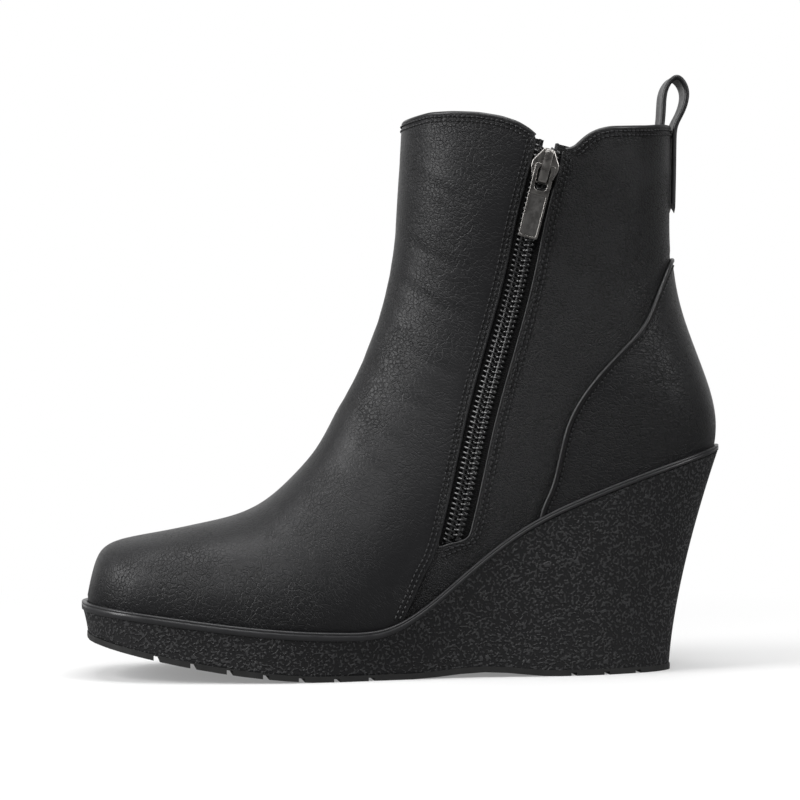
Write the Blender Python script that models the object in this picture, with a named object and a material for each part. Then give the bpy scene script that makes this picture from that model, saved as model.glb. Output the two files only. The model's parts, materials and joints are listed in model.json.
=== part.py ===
"""Wedge ankle boot for the right foot, with a zip on its inner side.

The toe points to -X, the inner side of the foot is -Y, and the sole stands on Z = 0.
"""

import math
from collections import namedtuple

import bmesh
import bpy
import numpy as np
from mathutils import Matrix, Vector
from mathutils.bvhtree import BVHTree

MM = 0.001

# Driving sizes of the last and the sole
UPPER_LENGTH = 240 * MM
BALL_WIDTH = 83 * MM
INSTEP_HEIGHT = 60 * MM
SHAFT_HEIGHT = 127 * MM
HEEL_HEIGHT = 87 * MM
PLATFORM_HEIGHT = 18.3 * MM
TOE_SPRING = 15.2 * MM
ARCH_RISE = 2 * MM
HEEL_LEAN = 19 * MM
SIDE_TAPER = 6 * MM
COLLAR_DIP = 13 * MM
COLLAR_MARGIN = 4 * MM

# Sheet and edge thicknesses
WALL = 2 * MM
GAP = 0.3 * MM
SEAT_GAP = 0.5 * MM
WELT_HEIGHT = 2.6 * MM
WELT_REACH = 2.4 * MM
WELT_STEP = 0.35 * MM
OUTSOLE_THICKNESS = 2.2 * MM
INSOLE_THICKNESS = 3 * MM

# Mesh fineness
GIRTH_STEPS = 16
ROWS = 38
TOE_CROWDING = 0.3
STATIONS = 40

# Height of the welt's top edge. along is the share of the upper's length from the toe,
# spring the share of the toe spring and lift the share of the rise from platform to heel.
SoleRow = namedtuple("SoleRow", "along spring lift")
SOLE_LINE = (
    SoleRow(-0.020, 0.69, 0.000),
    SoleRow(0.104, 0.45, 0.000),
    SoleRow(0.250, 0.16, 0.000),
    SoleRow(0.400, 0.00, 0.000),
    SoleRow(0.467, 0.00, 0.023),
    SoleRow(0.517, 0.00, 0.115),
    SoleRow(0.583, 0.00, 0.300),
    SoleRow(0.675, 0.00, 0.545),
    SoleRow(0.771, 0.00, 0.712),
    SoleRow(0.896, 0.00, 0.875),
    SoleRow(1.020, 0.00, 1.010),
)

# Sections of the last, each in a plane from a low point to a top point.
# The low and top points lie at shares of the upper's length from the toe. Their rises are
# shares of the instep height above the seat under the low point, or on the shaft shares of the
# shaft height above the heel seat. inner, outer and centre are shares of the ball width,
# widest is the share of the way up at which the section is widest, and the last two say how
# full its top and low halves are.
Section = namedtuple(
    "Section", "low_along low_rise top_along top_rise inner outer centre widest top_full low_full"
)
FOOT_SECTIONS = (
    Section(0.000, 0.070, 0.000, 0.070, 0.000, 0.000, -0.050, 0.50, 0.00, 0.00),
    Section(0.008, -0.100, 0.0075, 0.215, 0.155, 0.160, -0.050, 0.53, 0.05, 0.00),
    Section(0.022, -0.190, 0.0185, 0.342, 0.232, 0.242, -0.048, 0.54, 0.12, 0.00),
    Section(0.048, -0.260, 0.0380, 0.420, 0.300, 0.315, -0.045, 0.52, 0.18, 0.00),
    Section(0.085, -0.310, 0.0720, 0.477, 0.355, 0.375, -0.040, 0.51, 0.20, 0.00),
    Section(0.140, -0.345, 0.1230, 0.542, 0.405, 0.432, -0.032, 0.49, 0.20, 0.00),
    Section(0.205, -0.365, 0.1780, 0.620, 0.435, 0.470, -0.025, 0.47, 0.17, 0.00),
    Section(0.270, -0.375, 0.2350, 0.705, 0.455, 0.495, -0.020, 0.455, 0.13, 0.00),
    Section(0.345, -0.370, 0.2830, 0.825, 0.460, 0.505, -0.018, 0.44, 0.08, 0.00),
    Section(0.425, -0.380, 0.3240, 0.980, 0.440, 0.495, -0.018, 0.42, 0.03, 0.00),
    Section(0.510, -0.440, 0.3610, 1.040, 0.405, 0.462, -0.018, 0.41, 0.00, 0.00),
    Section(0.610, -0.560, 0.3930, 0.950, 0.375, 0.425, -0.014, 0.41, 0.00, 0.02),
    Section(0.720, -0.600, 0.4200, 0.850, 0.362, 0.398, -0.010, 0.42, 0.02, 0.04),
    Section(0.835, -0.575, 0.4430, 0.865, 0.360, 0.385, -0.006, 0.44, 0.05, 0.07),
    Section(0.935, -0.410, 0.4610, 0.920, 0.365, 0.385, -0.002, 0.46, 0.07, 0.10),
    Section(0.992, -0.110, 0.4725, 1.010, 0.372, 0.388, 0.000, 0.48, 0.08, 0.11),
)
SHAFT_SECTIONS = (
    Section(1.0055, 0.095, 0.4800, 0.540, 0.378, 0.390, 0.000, 0.49, 0.09, 0.11),
    Section(0.9840, 0.250, 0.4860, 0.608, 0.382, 0.390, 0.000, 0.50, 0.10, 0.10),
    Section(0.9480, 0.440, 0.4900, 0.694, 0.388, 0.394, 0.000, 0.50, 0.10, 0.09),
    Section(0.9335, 0.622, 0.4930, 0.789, 0.398, 0.402, 0.000, 0.50, 0.10, 0.09),
    Section(0.9335, 0.815, 0.4965, 0.892, 0.408, 0.410, 0.000, 0.50, 0.10, 0.09),
    Section(0.9350, 1.030, 0.5000, 1.030, 0.415, 0.415, 0.000, 0.50, 0.10, 0.09),
)

# Drop of the collar below its front, as shares of the collar dip, against the share of the
# upper's length from the toe.
CollarRow = namedtuple("CollarRow", "along drop")
COLLAR_INNER = (
    CollarRow(0.40, 0.00),
    CollarRow(0.500, 0.00),
    CollarRow(0.533, -0.10),
    CollarRow(0.567, -0.09),
    CollarRow(0.607, -0.03),
    CollarRow(0.642, 0.09),
    CollarRow(0.668, 0.25),
    CollarRow(0.687, 0.46),
    CollarRow(0.700, 0.68),
    CollarRow(0.745, 1.02),
    CollarRow(0.757, 0.95),
    CollarRow(0.768, 0.75),
    CollarRow(0.782, 0.55),
    CollarRow(0.798, 0.42),
    CollarRow(0.817, 0.34),
    CollarRow(0.842, 0.31),
    CollarRow(0.880, 0.25),
    CollarRow(0.935, 0.09),
    CollarRow(1.10, 0.09),
)
COLLAR_OUTER = (
    CollarRow(0.40, 0.00),
    CollarRow(0.500, 0.00),
    CollarRow(0.560, 0.04),
    CollarRow(0.615, 0.22),
    CollarRow(0.665, 0.47),
    CollarRow(0.710, 0.60),
    CollarRow(0.755, 0.59),
    CollarRow(0.805, 0.45),
    CollarRow(0.860, 0.27),
    CollarRow(0.935, 0.09),
    CollarRow(1.10, 0.09),
)

# The zip's centre line, its heights as shares of the shaft height above the heel seat
ZipRow = namedtuple("ZipRow", "along rise")
ZIP_LINE = (
    ZipRow(0.7246, 0.960),
    ZipRow(0.7108, 0.851),
    ZipRow(0.7012, 0.780),
    ZipRow(0.6900, 0.693),
    ZipRow(0.6710, 0.518),
    ZipRow(0.6500, 0.3595),
    ZipRow(0.6120, 0.0944),
    ZipRow(0.5940, -0.0563),
    ZipRow(0.5765, -0.200),
    ZipRow(0.5646, -0.288),
)

# Front edge of the heel counter, from the sole up to the back
EdgeRow = namedtuple("EdgeRow", "along rise")
COUNTER_EDGE = (
    EdgeRow(0.700, -0.230),
    EdgeRow(0.7075, -0.162),
    EdgeRow(0.719, -0.114),
    EdgeRow(0.730, -0.043),
    EdgeRow(0.738, 0.025),
    EdgeRow(0.747, 0.085),
    EdgeRow(0.761, 0.140),
    EdgeRow(0.790, 0.218),
    EdgeRow(0.831, 0.302),
    EdgeRow(0.870, 0.383),
    EdgeRow(0.892, 0.465),
    EdgeRow(0.909, 0.530),
    EdgeRow(0.923, 0.572),
    EdgeRow(0.936, 0.592),
    EdgeRow(0.950, 0.600),
    EdgeRow(1.100, 0.600),
)

# The strap's middle line, from the foot of its outer leg over the loop and down inside the
# collar. back is a share of the loop's depth behind the upper's back, up a share of its height
# above the collar.
LoopRow = namedtuple("LoopRow", "back up")
LOOP_DEPTH = 9 * MM
LOOP_HEIGHT = 18.9 * MM
STRAP_WIDTH = 12.5 * MM
STRAP_THICKNESS = 1.8 * MM
STRAP_LINE = (
    LoopRow(0.155, -1.77),
    LoopRow(0.155, -1.06),
    LoopRow(0.155, -0.32),
    LoopRow(0.235, 0.026),
    LoopRow(0.470, 0.265),
    LoopRow(0.660, 0.556),
    LoopRow(0.590, 0.830),
    LoopRow(0.222, 1.000),
    LoopRow(-0.160, 0.840),
    LoopRow(-0.311, 0.556),
    LoopRow(-0.333, 0.238),
    LoopRow(-0.378, -0.053),
    LoopRow(-0.383, -0.317),
    LoopRow(-0.383, -0.740),
)


def spline(knots, values):
    """A natural cubic spline through rows of values, as a function of the knot variable."""
    t = np.asarray(knots, float)
    v = np.asarray(values, float)
    h = np.diff(t)
    slope = np.diff(v, axis=0) / h[:, None]
    count = len(t)
    system = np.eye(count)
    load = np.zeros_like(v)
    for i in range(1, count - 1):
        system[i, i - 1 : i + 2] = h[i - 1], 2 * (h[i - 1] + h[i]), h[i]
        load[i] = 6 * (slope[i] - slope[i - 1])
    bend = np.linalg.solve(system, load)

    def evaluate(at):
        i = int(np.clip(np.searchsorted(t, at) - 1, 0, count - 2))
        a = (t[i + 1] - at) / h[i]
        b = (at - t[i]) / h[i]
        curve = ((a**3 - a) * bend[i] + (b**3 - b) * bend[i + 1]) * h[i] ** 2 / 6
        return a * v[i] + b * v[i + 1] + curve

    return evaluate


def station(along):
    """X of a share of the upper's length from the toe."""
    return (along - 0.5) * UPPER_LENGTH


def smooth(share):
    share = min(1.0, max(0.0, share))
    return share * share * (3 - 2 * share)


HEEL_LIFT = HEEL_HEIGHT - PLATFORM_HEIGHT
welt_line = spline(
    [station(row.along) for row in SOLE_LINE],
    [[PLATFORM_HEIGHT + row.spring * TOE_SPRING + row.lift * HEEL_LIFT] for row in SOLE_LINE],
)


def welt_top(x):
    """Height of the welt's top edge above the floor."""
    return float(welt_line(x)[0])


def seat(x):
    """Height at which the upper's lower edge stands, just clear of the wedge's top."""
    return welt_top(x) - WELT_HEIGHT + SEAT_GAP


def measured(row, unit, base):
    """A row of the section tables in metres."""
    widths = [share * BALL_WIDTH for share in (row.inner, row.outer, row.centre)]
    return [
        station(row.low_along),
        base + row.low_rise * unit,
        station(row.top_along),
        base + row.top_rise * unit,
        *widths,
        row.widest,
        row.top_full,
        row.low_full,
    ]


def last_spline():
    rows = [
        measured(row, INSTEP_HEIGHT, seat(station(row.low_along))) for row in FOOT_SECTIONS
    ]
    heel_seat = seat(station(1))
    rows += [measured(row, SHAFT_HEIGHT, heel_seat) for row in SHAFT_SECTIONS]
    rows = np.array(rows)
    travel = np.hypot(*np.diff(rows[:, 0:2], axis=0).T) + np.hypot(*np.diff(rows[:, 2:4], axis=0).T)
    knots = np.concatenate([[0], np.cumsum(travel)])
    return spline(knots / knots[-1], rows)


last_section = last_spline()
INNER, OUTER = -1, 1


def last_point(s, phi, side):
    """Point of the upper's outer surface: s runs from toe to collar, phi from low to top."""
    low_x, low_z, top_x, top_z, inner, outer, centre, widest, top_full, low_full = last_section(s)
    rise = math.sin(phi)
    share = widest + rise / 2 + (0.5 - widest) * rise**2
    full = (top_full + low_full) / 2 + (top_full - low_full) / 2 * rise
    width = outer if side == OUTER else inner
    x = low_x + (top_x - low_x) * share
    z = low_z + (top_z - low_z) * share
    y = centre + side * width * math.cos(phi) * (1 + full * rise**2)
    return Vector((x, y, z))


def above_seat(s, phi, side, height):
    point = last_point(s, phi, side)
    return point.z - seat(point.x) - height


def halved(below, above, test):
    """The value between below and above at which test changes sign."""
    for _ in range(40):
        middle = (below + above) / 2
        if test(middle) < 0:
            below = middle
        else:
            above = middle
    return (below + above) / 2


LOW = -math.pi / 2
TOP = math.pi / 2
MID_FOOT = 0.4
HEEL_SEAT = seat(station(1))
COLLAR_FRONT_HEIGHT = HEEL_SEAT + SHAFT_HEIGHT


def shaft_height(rise):
    """Height of a share of the shaft above the heel seat."""
    return HEEL_SEAT + rise * SHAFT_HEIGHT


def above_seat(s, phi, side, height):
    point = last_point(s, phi, side)
    return point.z - seat(point.x) - height


def halved(below, above, test):
    """The value between below and above at which test changes sign."""
    for _ in range(40):
        middle = (below + above) / 2
        if test(middle) < 0:
            below = middle
        else:
            above = middle
    return (below + above) / 2


def edge_angle(s, side, height):
    """Angle at which a section meets this height, or its lowest angle where it stays above."""
    if above_seat(s, LOW, side, height) >= 0:
        return LOW
    return halved(LOW, math.radians(30), lambda phi: above_seat(s, phi, side, height))


def open_span(height):
    """The first and last s at which the last dips below a height, at the toe and the heel."""
    first = halved(MID_FOOT, 0.0, lambda s: above_seat(s, LOW, INNER, height))
    last = halved(MID_FOOT, 1.0, lambda s: above_seat(s, LOW, INNER, height))
    return first, last


def eased(first, last, steps):
    """Values from first to last, closer together at both ends."""
    span = last - first
    return [first + span * (1 - math.cos(math.pi * i / steps)) / 2 for i in range(steps + 1)]


def last_rows():
    """Values of s from the toe to the collar, closer together at the toe."""
    shares = [i / ROWS for i in range(ROWS + 1)]
    return [share * (1 - TOE_CROWDING * (1 - share)) for share in shares]


def row_points(s):
    """One closed row of the outer surface, from its low point over the top and back."""
    angles = [LOW + (TOP - LOW) * i / GIRTH_STEPS for i in range(GIRTH_STEPS + 1)]
    inner = [last_point(s, angle, INNER) for angle in angles]
    outer = [last_point(s, angle, OUTER) for angle in angles]
    return inner + outer[-2:0:-1]


def surface_mesh(rows):
    """The outer surface as a bmesh, closed below by the last's underside."""
    work = bmesh.new()
    grid = []
    for s in rows:
        points = row_points(s)
        if s == 0:
            grid.append([work.verts.new(points[0])] * len(points))
        else:
            grid.append([work.verts.new(point) for point in points])
    for near, far in zip(grid, grid[1:]):
        for i in range(len(near)):
            corners = dict.fromkeys((near[i - 1], near[i], far[i], far[i - 1]))
            work.faces.new(list(corners))
    bmesh.ops.recalc_face_normals(work, faces=work.faces)
    work.normal_update()
    return work


def shell(name, rows, nearest, furthest, material=None):
    """A closed sheet that follows the outer surface between two offsets along its normals."""
    work = surface_mesh(rows)
    work.verts.index_update()
    points = []
    for offset in (furthest, nearest):
        points += [vert.co + vert.normal * offset for vert in work.verts]
    count = len(work.verts)
    faces = []
    for face in work.faces:
        ring = [vert.index for vert in face.verts]
        faces.append(ring)
        faces.append([index + count for index in reversed(ring)])
        for loop in face.loops:
            if loop.edge.is_boundary:
                a = loop.vert.index
                b = loop.link_loop_next.vert.index
                faces.append([b, a, a + count, b + count])
    work.free()
    return mesh_object(name, points, faces, material)


def surface_tree():
    fine = surface_mesh(last_rows())
    tree = BVHTree.FromBMesh(fine)
    fine.free()
    return tree


def grown(points, distance):
    """A closed outline moved outwards in plan, height kept."""
    moved = []
    count = len(points)
    for i, point in enumerate(points):
        along = points[(i + 1) % count] - points[i - 1]
        outwards = Vector((along.y, -along.x, 0)).normalized()
        moved.append(point + outwards * distance)
    return moved


def foot_outline(height):
    """Outline of the upper at a height above the seat: toe, inner side, heel, outer side."""
    first, last = open_span(height)
    toe = last_point(first, LOW, INNER)
    heel = last_point(last, LOW, INNER)
    sides = {}
    for side in (INNER, OUTER):
        points = [toe]
        for s in eased(first, last, 4 * STATIONS)[1:-1]:
            points.append(last_point(s, edge_angle(s, side, height), side))
        points.append(heel)
        xs = [point.x for point in points]
        ys = [point.y for point in points]
        stations = eased(toe.x, heel.x, STATIONS)
        sides[side] = [Vector((x, float(np.interp(x, xs, ys)), 0)) for x in stations]
    return sides[INNER] + sides[OUTER][-2:0:-1]


def mesh_object(name, points, faces, material=None):
    mesh = bpy.data.meshes.new(name)
    mesh.from_pydata([tuple(point) for point in points], [], faces)
    mesh.update()
    made = bpy.data.objects.new(name, mesh)
    bpy.context.scene.collection.objects.link(made)
    if material:
        mesh.materials.append(material)
    return made


def ring_faces(start, other, count):
    """Quads between two loops of count points that begin at these indices."""
    faces = []
    for i in range(count):
        j = (i + 1) % count
        faces.append((start + i, start + j, other + j, other + i))
    return faces


def cap_faces(start, upwards):
    """Strips across a foot outline, pairing its two sides station by station."""
    count = 2 * STATIONS
    faces = []
    for i in range(STATIONS):
        strip = [i, i + 1, (count - i - 1) % count, (count - i) % count]
        strip = [start + index for index in dict.fromkeys(strip)]
        faces.append(tuple(strip if upwards else reversed(strip)))
    return faces


def stacked(name, rings, material=None):
    """A solid from foot outlines, lowest first."""
    points = [point for ring in rings for point in ring]
    count = 2 * STATIONS
    faces = cap_faces(0, False) + cap_faces(count * (len(rings) - 1), True)
    for level in range(len(rings) - 1):
        faces += ring_faces(level * count, (level + 1) * count, count)
    return mesh_object(name, points, faces, material)


def outwards(made):
    """Turns the faces of a closed mesh to the outside."""
    work = bmesh.new()
    work.from_mesh(made.data)
    bmesh.ops.recalc_face_normals(work, faces=work.faces)
    work.to_mesh(made.data)
    work.free()
    return made


def swept(name, rings, material=None):
    """A solid through rings of equal count, closed by its first and last ring."""
    points = [point for ring in rings for point in ring]
    count = len(rings[0])
    faces = [tuple(range(count)), tuple(range(len(points) - count, len(points)))]
    for level in range(len(rings) - 1):
        faces += ring_faces(level * count, (level + 1) * count, count)
    return outwards(mesh_object(name, points, faces, material))


def prism(name, outline, stations):
    """A solid with an outline in X and Z, given for each of these Y stations."""
    rings = [[Vector((x, y, z)) for x, z in ring] for y, ring in zip(stations, outline)]
    return swept(name, rings)


def combine(made, tool, operation):
    """Applies a Boolean with a tool that isn't kept."""
    change = made.modifiers.new("cut", "BOOLEAN")
    change.operation = operation
    change.object = tool
    change.solver = "EXACT"
    bpy.context.view_layer.update()
    graph = bpy.context.evaluated_depsgraph_get()
    mesh = bpy.data.meshes.new_from_object(made.evaluated_get(graph))
    made.modifiers.clear()
    old = made.data
    made.data = mesh
    bpy.data.meshes.remove(old)
    bpy.data.objects.remove(tool)
    return made


def clear_scene():
    for old in list(bpy.data.objects):
        bpy.data.objects.remove(old)


def paint(name, colour, roughness, metallic=0.0):
    material = bpy.data.materials.new(name)
    material.use_nodes = True
    shader = material.node_tree.nodes["Principled BSDF"]
    shader.inputs["Base Color"].default_value = (*colour, 1)
    shader.inputs["Roughness"].default_value = roughness
    shader.inputs["Metallic"].default_value = metallic
    return material


# Underside of the sole. The forefoot stands on a flat spot up to BALL_BACK, the heel on one
# from HEEL_FRONT, and the arch between them lifts clear of the floor.
SPRING_START = 0.37
SPRING_POWER = 1.6
BALL_BACK = 0.50
HEEL_FRONT = 0.74
FLARE_POWER = 1.5
LEAN_START = 0.62

# Inset of the sole's bottom edge, as shares of the side taper
TaperRow = namedtuple("TaperRow", "along inner outer")
TAPER = (
    TaperRow(-0.02, 0.35, 0.35),
    TaperRow(0.30, 0.35, 0.40),
    TaperRow(0.55, 0.80, 0.60),
    TaperRow(0.80, 1.00, 1.00),
    TaperRow(1.02, 1.00, 1.00),
)
side_taper = spline([station(row.along) for row in TAPER], [row[1:] for row in TAPER])


def floor_line(x):
    """Height of the sole's underside."""
    along = x / UPPER_LENGTH + 0.5
    if along < SPRING_START:
        return TOE_SPRING * ((SPRING_START - along) / (SPRING_START + 0.01)) ** SPRING_POWER
    if BALL_BACK < along < HEEL_FRONT:
        return ARCH_RISE * math.sin(math.pi * (along - BALL_BACK) / (HEEL_FRONT - BALL_BACK)) ** 2
    return 0.0


def sole_ring(outline, share, lift):
    """The sole's outline at a share of the way from the floor to its top, raised by lift."""
    back = station(1) + WELT_REACH
    ring = []
    for point in outline:
        inset_inner, inset_outer = side_taper(point.x)
        inset = SIDE_TAPER * (inset_outer if point.y > 0 else inset_inner)
        lean = HEEL_LEAN * smooth((point.x - station(LEAN_START)) / (back - station(LEAN_START)))
        toe_inset = inset * smooth((station(0.1) - point.x) / (0.11 * UPPER_LENGTH))
        narrowed = point.y * (1 - inset / max(abs(point.y), 4 * inset))
        low_x = point.x - lean + toe_inset
        low_z = floor_line(low_x) + lift
        top_z = welt_top(point.x) - WELT_HEIGHT
        low = Vector((low_x, narrowed, low_z))
        mixed = low.lerp(Vector((point.x, point.y, top_z)), share**FLARE_POWER)
        mixed.z = low_z + (top_z - low_z) * share
        ring.append(mixed)
    return ring


def lifted(outline, rise):
    """A plan outline laid at a height above the wedge's top."""
    return [Vector((p.x, p.y, welt_top(p.x) - WELT_HEIGHT + rise)) for p in outline]


# Lugs under the sole: bars across it, parted by grooves. Stations as shares of the upper's
# length, lean as the forward shift of a groove's inner end.
GROOVE_WIDTH = 2.2 * MM
GROOVE_DEPTH = 1.2 * MM
GROOVE_LEAN = 6 * MM
FOREFOOT_GROOVES = (0.10, 0.155, 0.21, 0.265, 0.32, 0.375, 0.43)
HEEL_GROOVES = (0.755, 0.81, 0.865)


def build_sole(leather_edge, rubber, tread):
    base = foot_outline(WELT_HEIGHT)
    side = grown(base, WELT_REACH - WELT_STEP)
    wedge_rings = [sole_ring(side, 0, OUTSOLE_THICKNESS + GAP)]
    wedge_rings += [sole_ring(side, share, 0) for share in (0.3, 0.55, 0.78, 1)]
    stacked("wedge", wedge_rings, rubber)
    low = grown(sole_ring(side, 0, 0), 0.4 * MM)
    outsole = stacked("outsole", [low, [p + Vector((0, 0, OUTSOLE_THICKNESS)) for p in low]], tread)
    for along in FOREFOOT_GROOVES + HEEL_GROOVES:
        middle = station(along)
        half = GROOVE_WIDTH / 2
        rings = []
        for y in (-60 * MM, 60 * MM):
            shift = -GROOVE_LEAN * y / BALL_WIDTH
            ring = []
            for dx, dz in ((-half, -9 * MM), (half, -9 * MM), (half, GROOVE_DEPTH), (-half, GROOVE_DEPTH)):
                ring.append(Vector((middle + shift + dx, y, floor_line(middle + dx) + dz)))
            rings.append(ring)
        combine(outsole, swept("groove", rings), "DIFFERENCE")

    band_in = [grown(foot_outline(h), GAP) for h in (0, WELT_HEIGHT)]
    band_out = grown(base, WELT_REACH)
    loops = [
        lifted(band_in[0], GAP),
        lifted(band_out, GAP),
        lifted(band_out, WELT_HEIGHT),
        lifted(band_in[1], WELT_HEIGHT),
    ]
    points = [point for loop in loops for point in loop]
    count = 2 * STATIONS
    faces = []
    for level in range(4):
        faces += ring_faces(level * count, (level + 1) % 4 * count, count)
    outwards(mesh_object("welt", points, faces, leather_edge))


def build_insole(material):
    rings = []
    for height in (0.0, INSOLE_THICKNESS):
        outline = grown(foot_outline(height), -(WALL + 5 * GAP))
        rings.append(lifted(outline, GAP + height))
    stacked("insole", rings, material)


def collar_cutter():
    """Everything above the collar line, its inner and outer halves each with their own dip."""
    rings = []
    reach = 60 * MM
    shares = [0.4 + 0.7 * i / 70 for i in range(71)]
    for table in (COLLAR_INNER, COLLAR_OUTER):
        drop = [float(np.interp(a, [r.along for r in table], [r.drop for r in table])) for a in shares]
        line = [(station(a), COLLAR_FRONT_HEIGHT - d * COLLAR_DIP) for a, d in zip(shares, drop)]
        top = COLLAR_FRONT_HEIGHT + 10 * COLLAR_MARGIN
        rings.append(line + [(line[-1][0], top), (line[0][0], top)])
    inner, outer = rings
    return prism("collar_cutter", [inner, inner, outer, outer], [-reach, -MM, MM, reach])


def seat_cutter():
    """Everything below the upper's lower edge."""
    reach = 60 * MM
    shares = [-0.05 + 1.1 * i / 60 for i in range(61)]
    line = [(station(a), seat(station(a))) for a in shares]
    ring = line + [(line[-1][0], -reach), (line[0][0], -reach)]
    return prism("seat_cutter", [ring, ring], [-reach, reach])


# The zip
SLOT_HALF = 5.7 * MM
CHAIN_HALF = 3.3 * MM
TAPE_HALF = 8.5 * MM
TAPE_SPLIT = 2.4 * MM
TAPE_THICKNESS = 0.7 * MM
TAPE_TOP = 0.915
TAPE_END = 2 * MM
ZIP_STEPS = 13
SLIDER_LENGTH = 13.5 * MM
SLIDER_TOP = 0.897
Frame = namedtuple("Frame", "centre across down inward")


class Side:
    """The inner side of the upper as a surface over X and Z."""

    def __init__(self):
        self.tree = surface_tree()

    def depth(self, x, z):
        hit = self.tree.ray_cast(Vector((x, -0.2, z)), Vector((0, 1, 0)))
        return hit[0].y

    def inward(self, x, z):
        step = 3 * MM
        slope_x = (self.depth(x + step, z) - self.depth(x - step, z)) / (2 * step)
        slope_z = (self.depth(x, z + step) - self.depth(x, z - step)) / (2 * step)
        return Vector((-slope_x, 1, -slope_z)).normalized()

    def point(self, x, z, depth):
        """Point at a depth below the surface."""
        return Vector((x, self.depth(x, z), z)) + self.inward(x, z) * depth

    def back(self, y, z):
        hit = self.tree.ray_cast(Vector((0.3, y, z)), Vector((-1, 0, 0)))
        return hit[0].x


def zip_curve():
    places = np.array([[station(row.along), shaft_height(row.rise)] for row in ZIP_LINE])
    travel = np.concatenate([[0], np.cumsum(np.hypot(*np.diff(places, axis=0).T))])
    return spline(travel, places), travel[-1]


def zip_frame(side, curve, travel):
    x, z = curve(travel)
    ahead = curve(travel + MM) - curve(travel - MM)
    centre = side.point(x, z, 0)
    inward = side.inward(x, z)
    down = Vector((ahead[0], 0, ahead[1]))
    down = (down - inward * down.dot(inward)).normalized()
    return Frame(centre, inward.cross(down) * -1, down, inward)


def placed(frame, w, depth, along=0.0):
    return frame.centre + frame.across * w + frame.inward * depth + frame.down * along


def boxed(name, frame, corners, depths, material=None):
    """A plate on a frame: corners across and along it, between two depths."""
    rings = [[placed(frame, w, depth, along) for w, along in corners] for depth in depths]
    return swept(name, rings, material)


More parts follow.
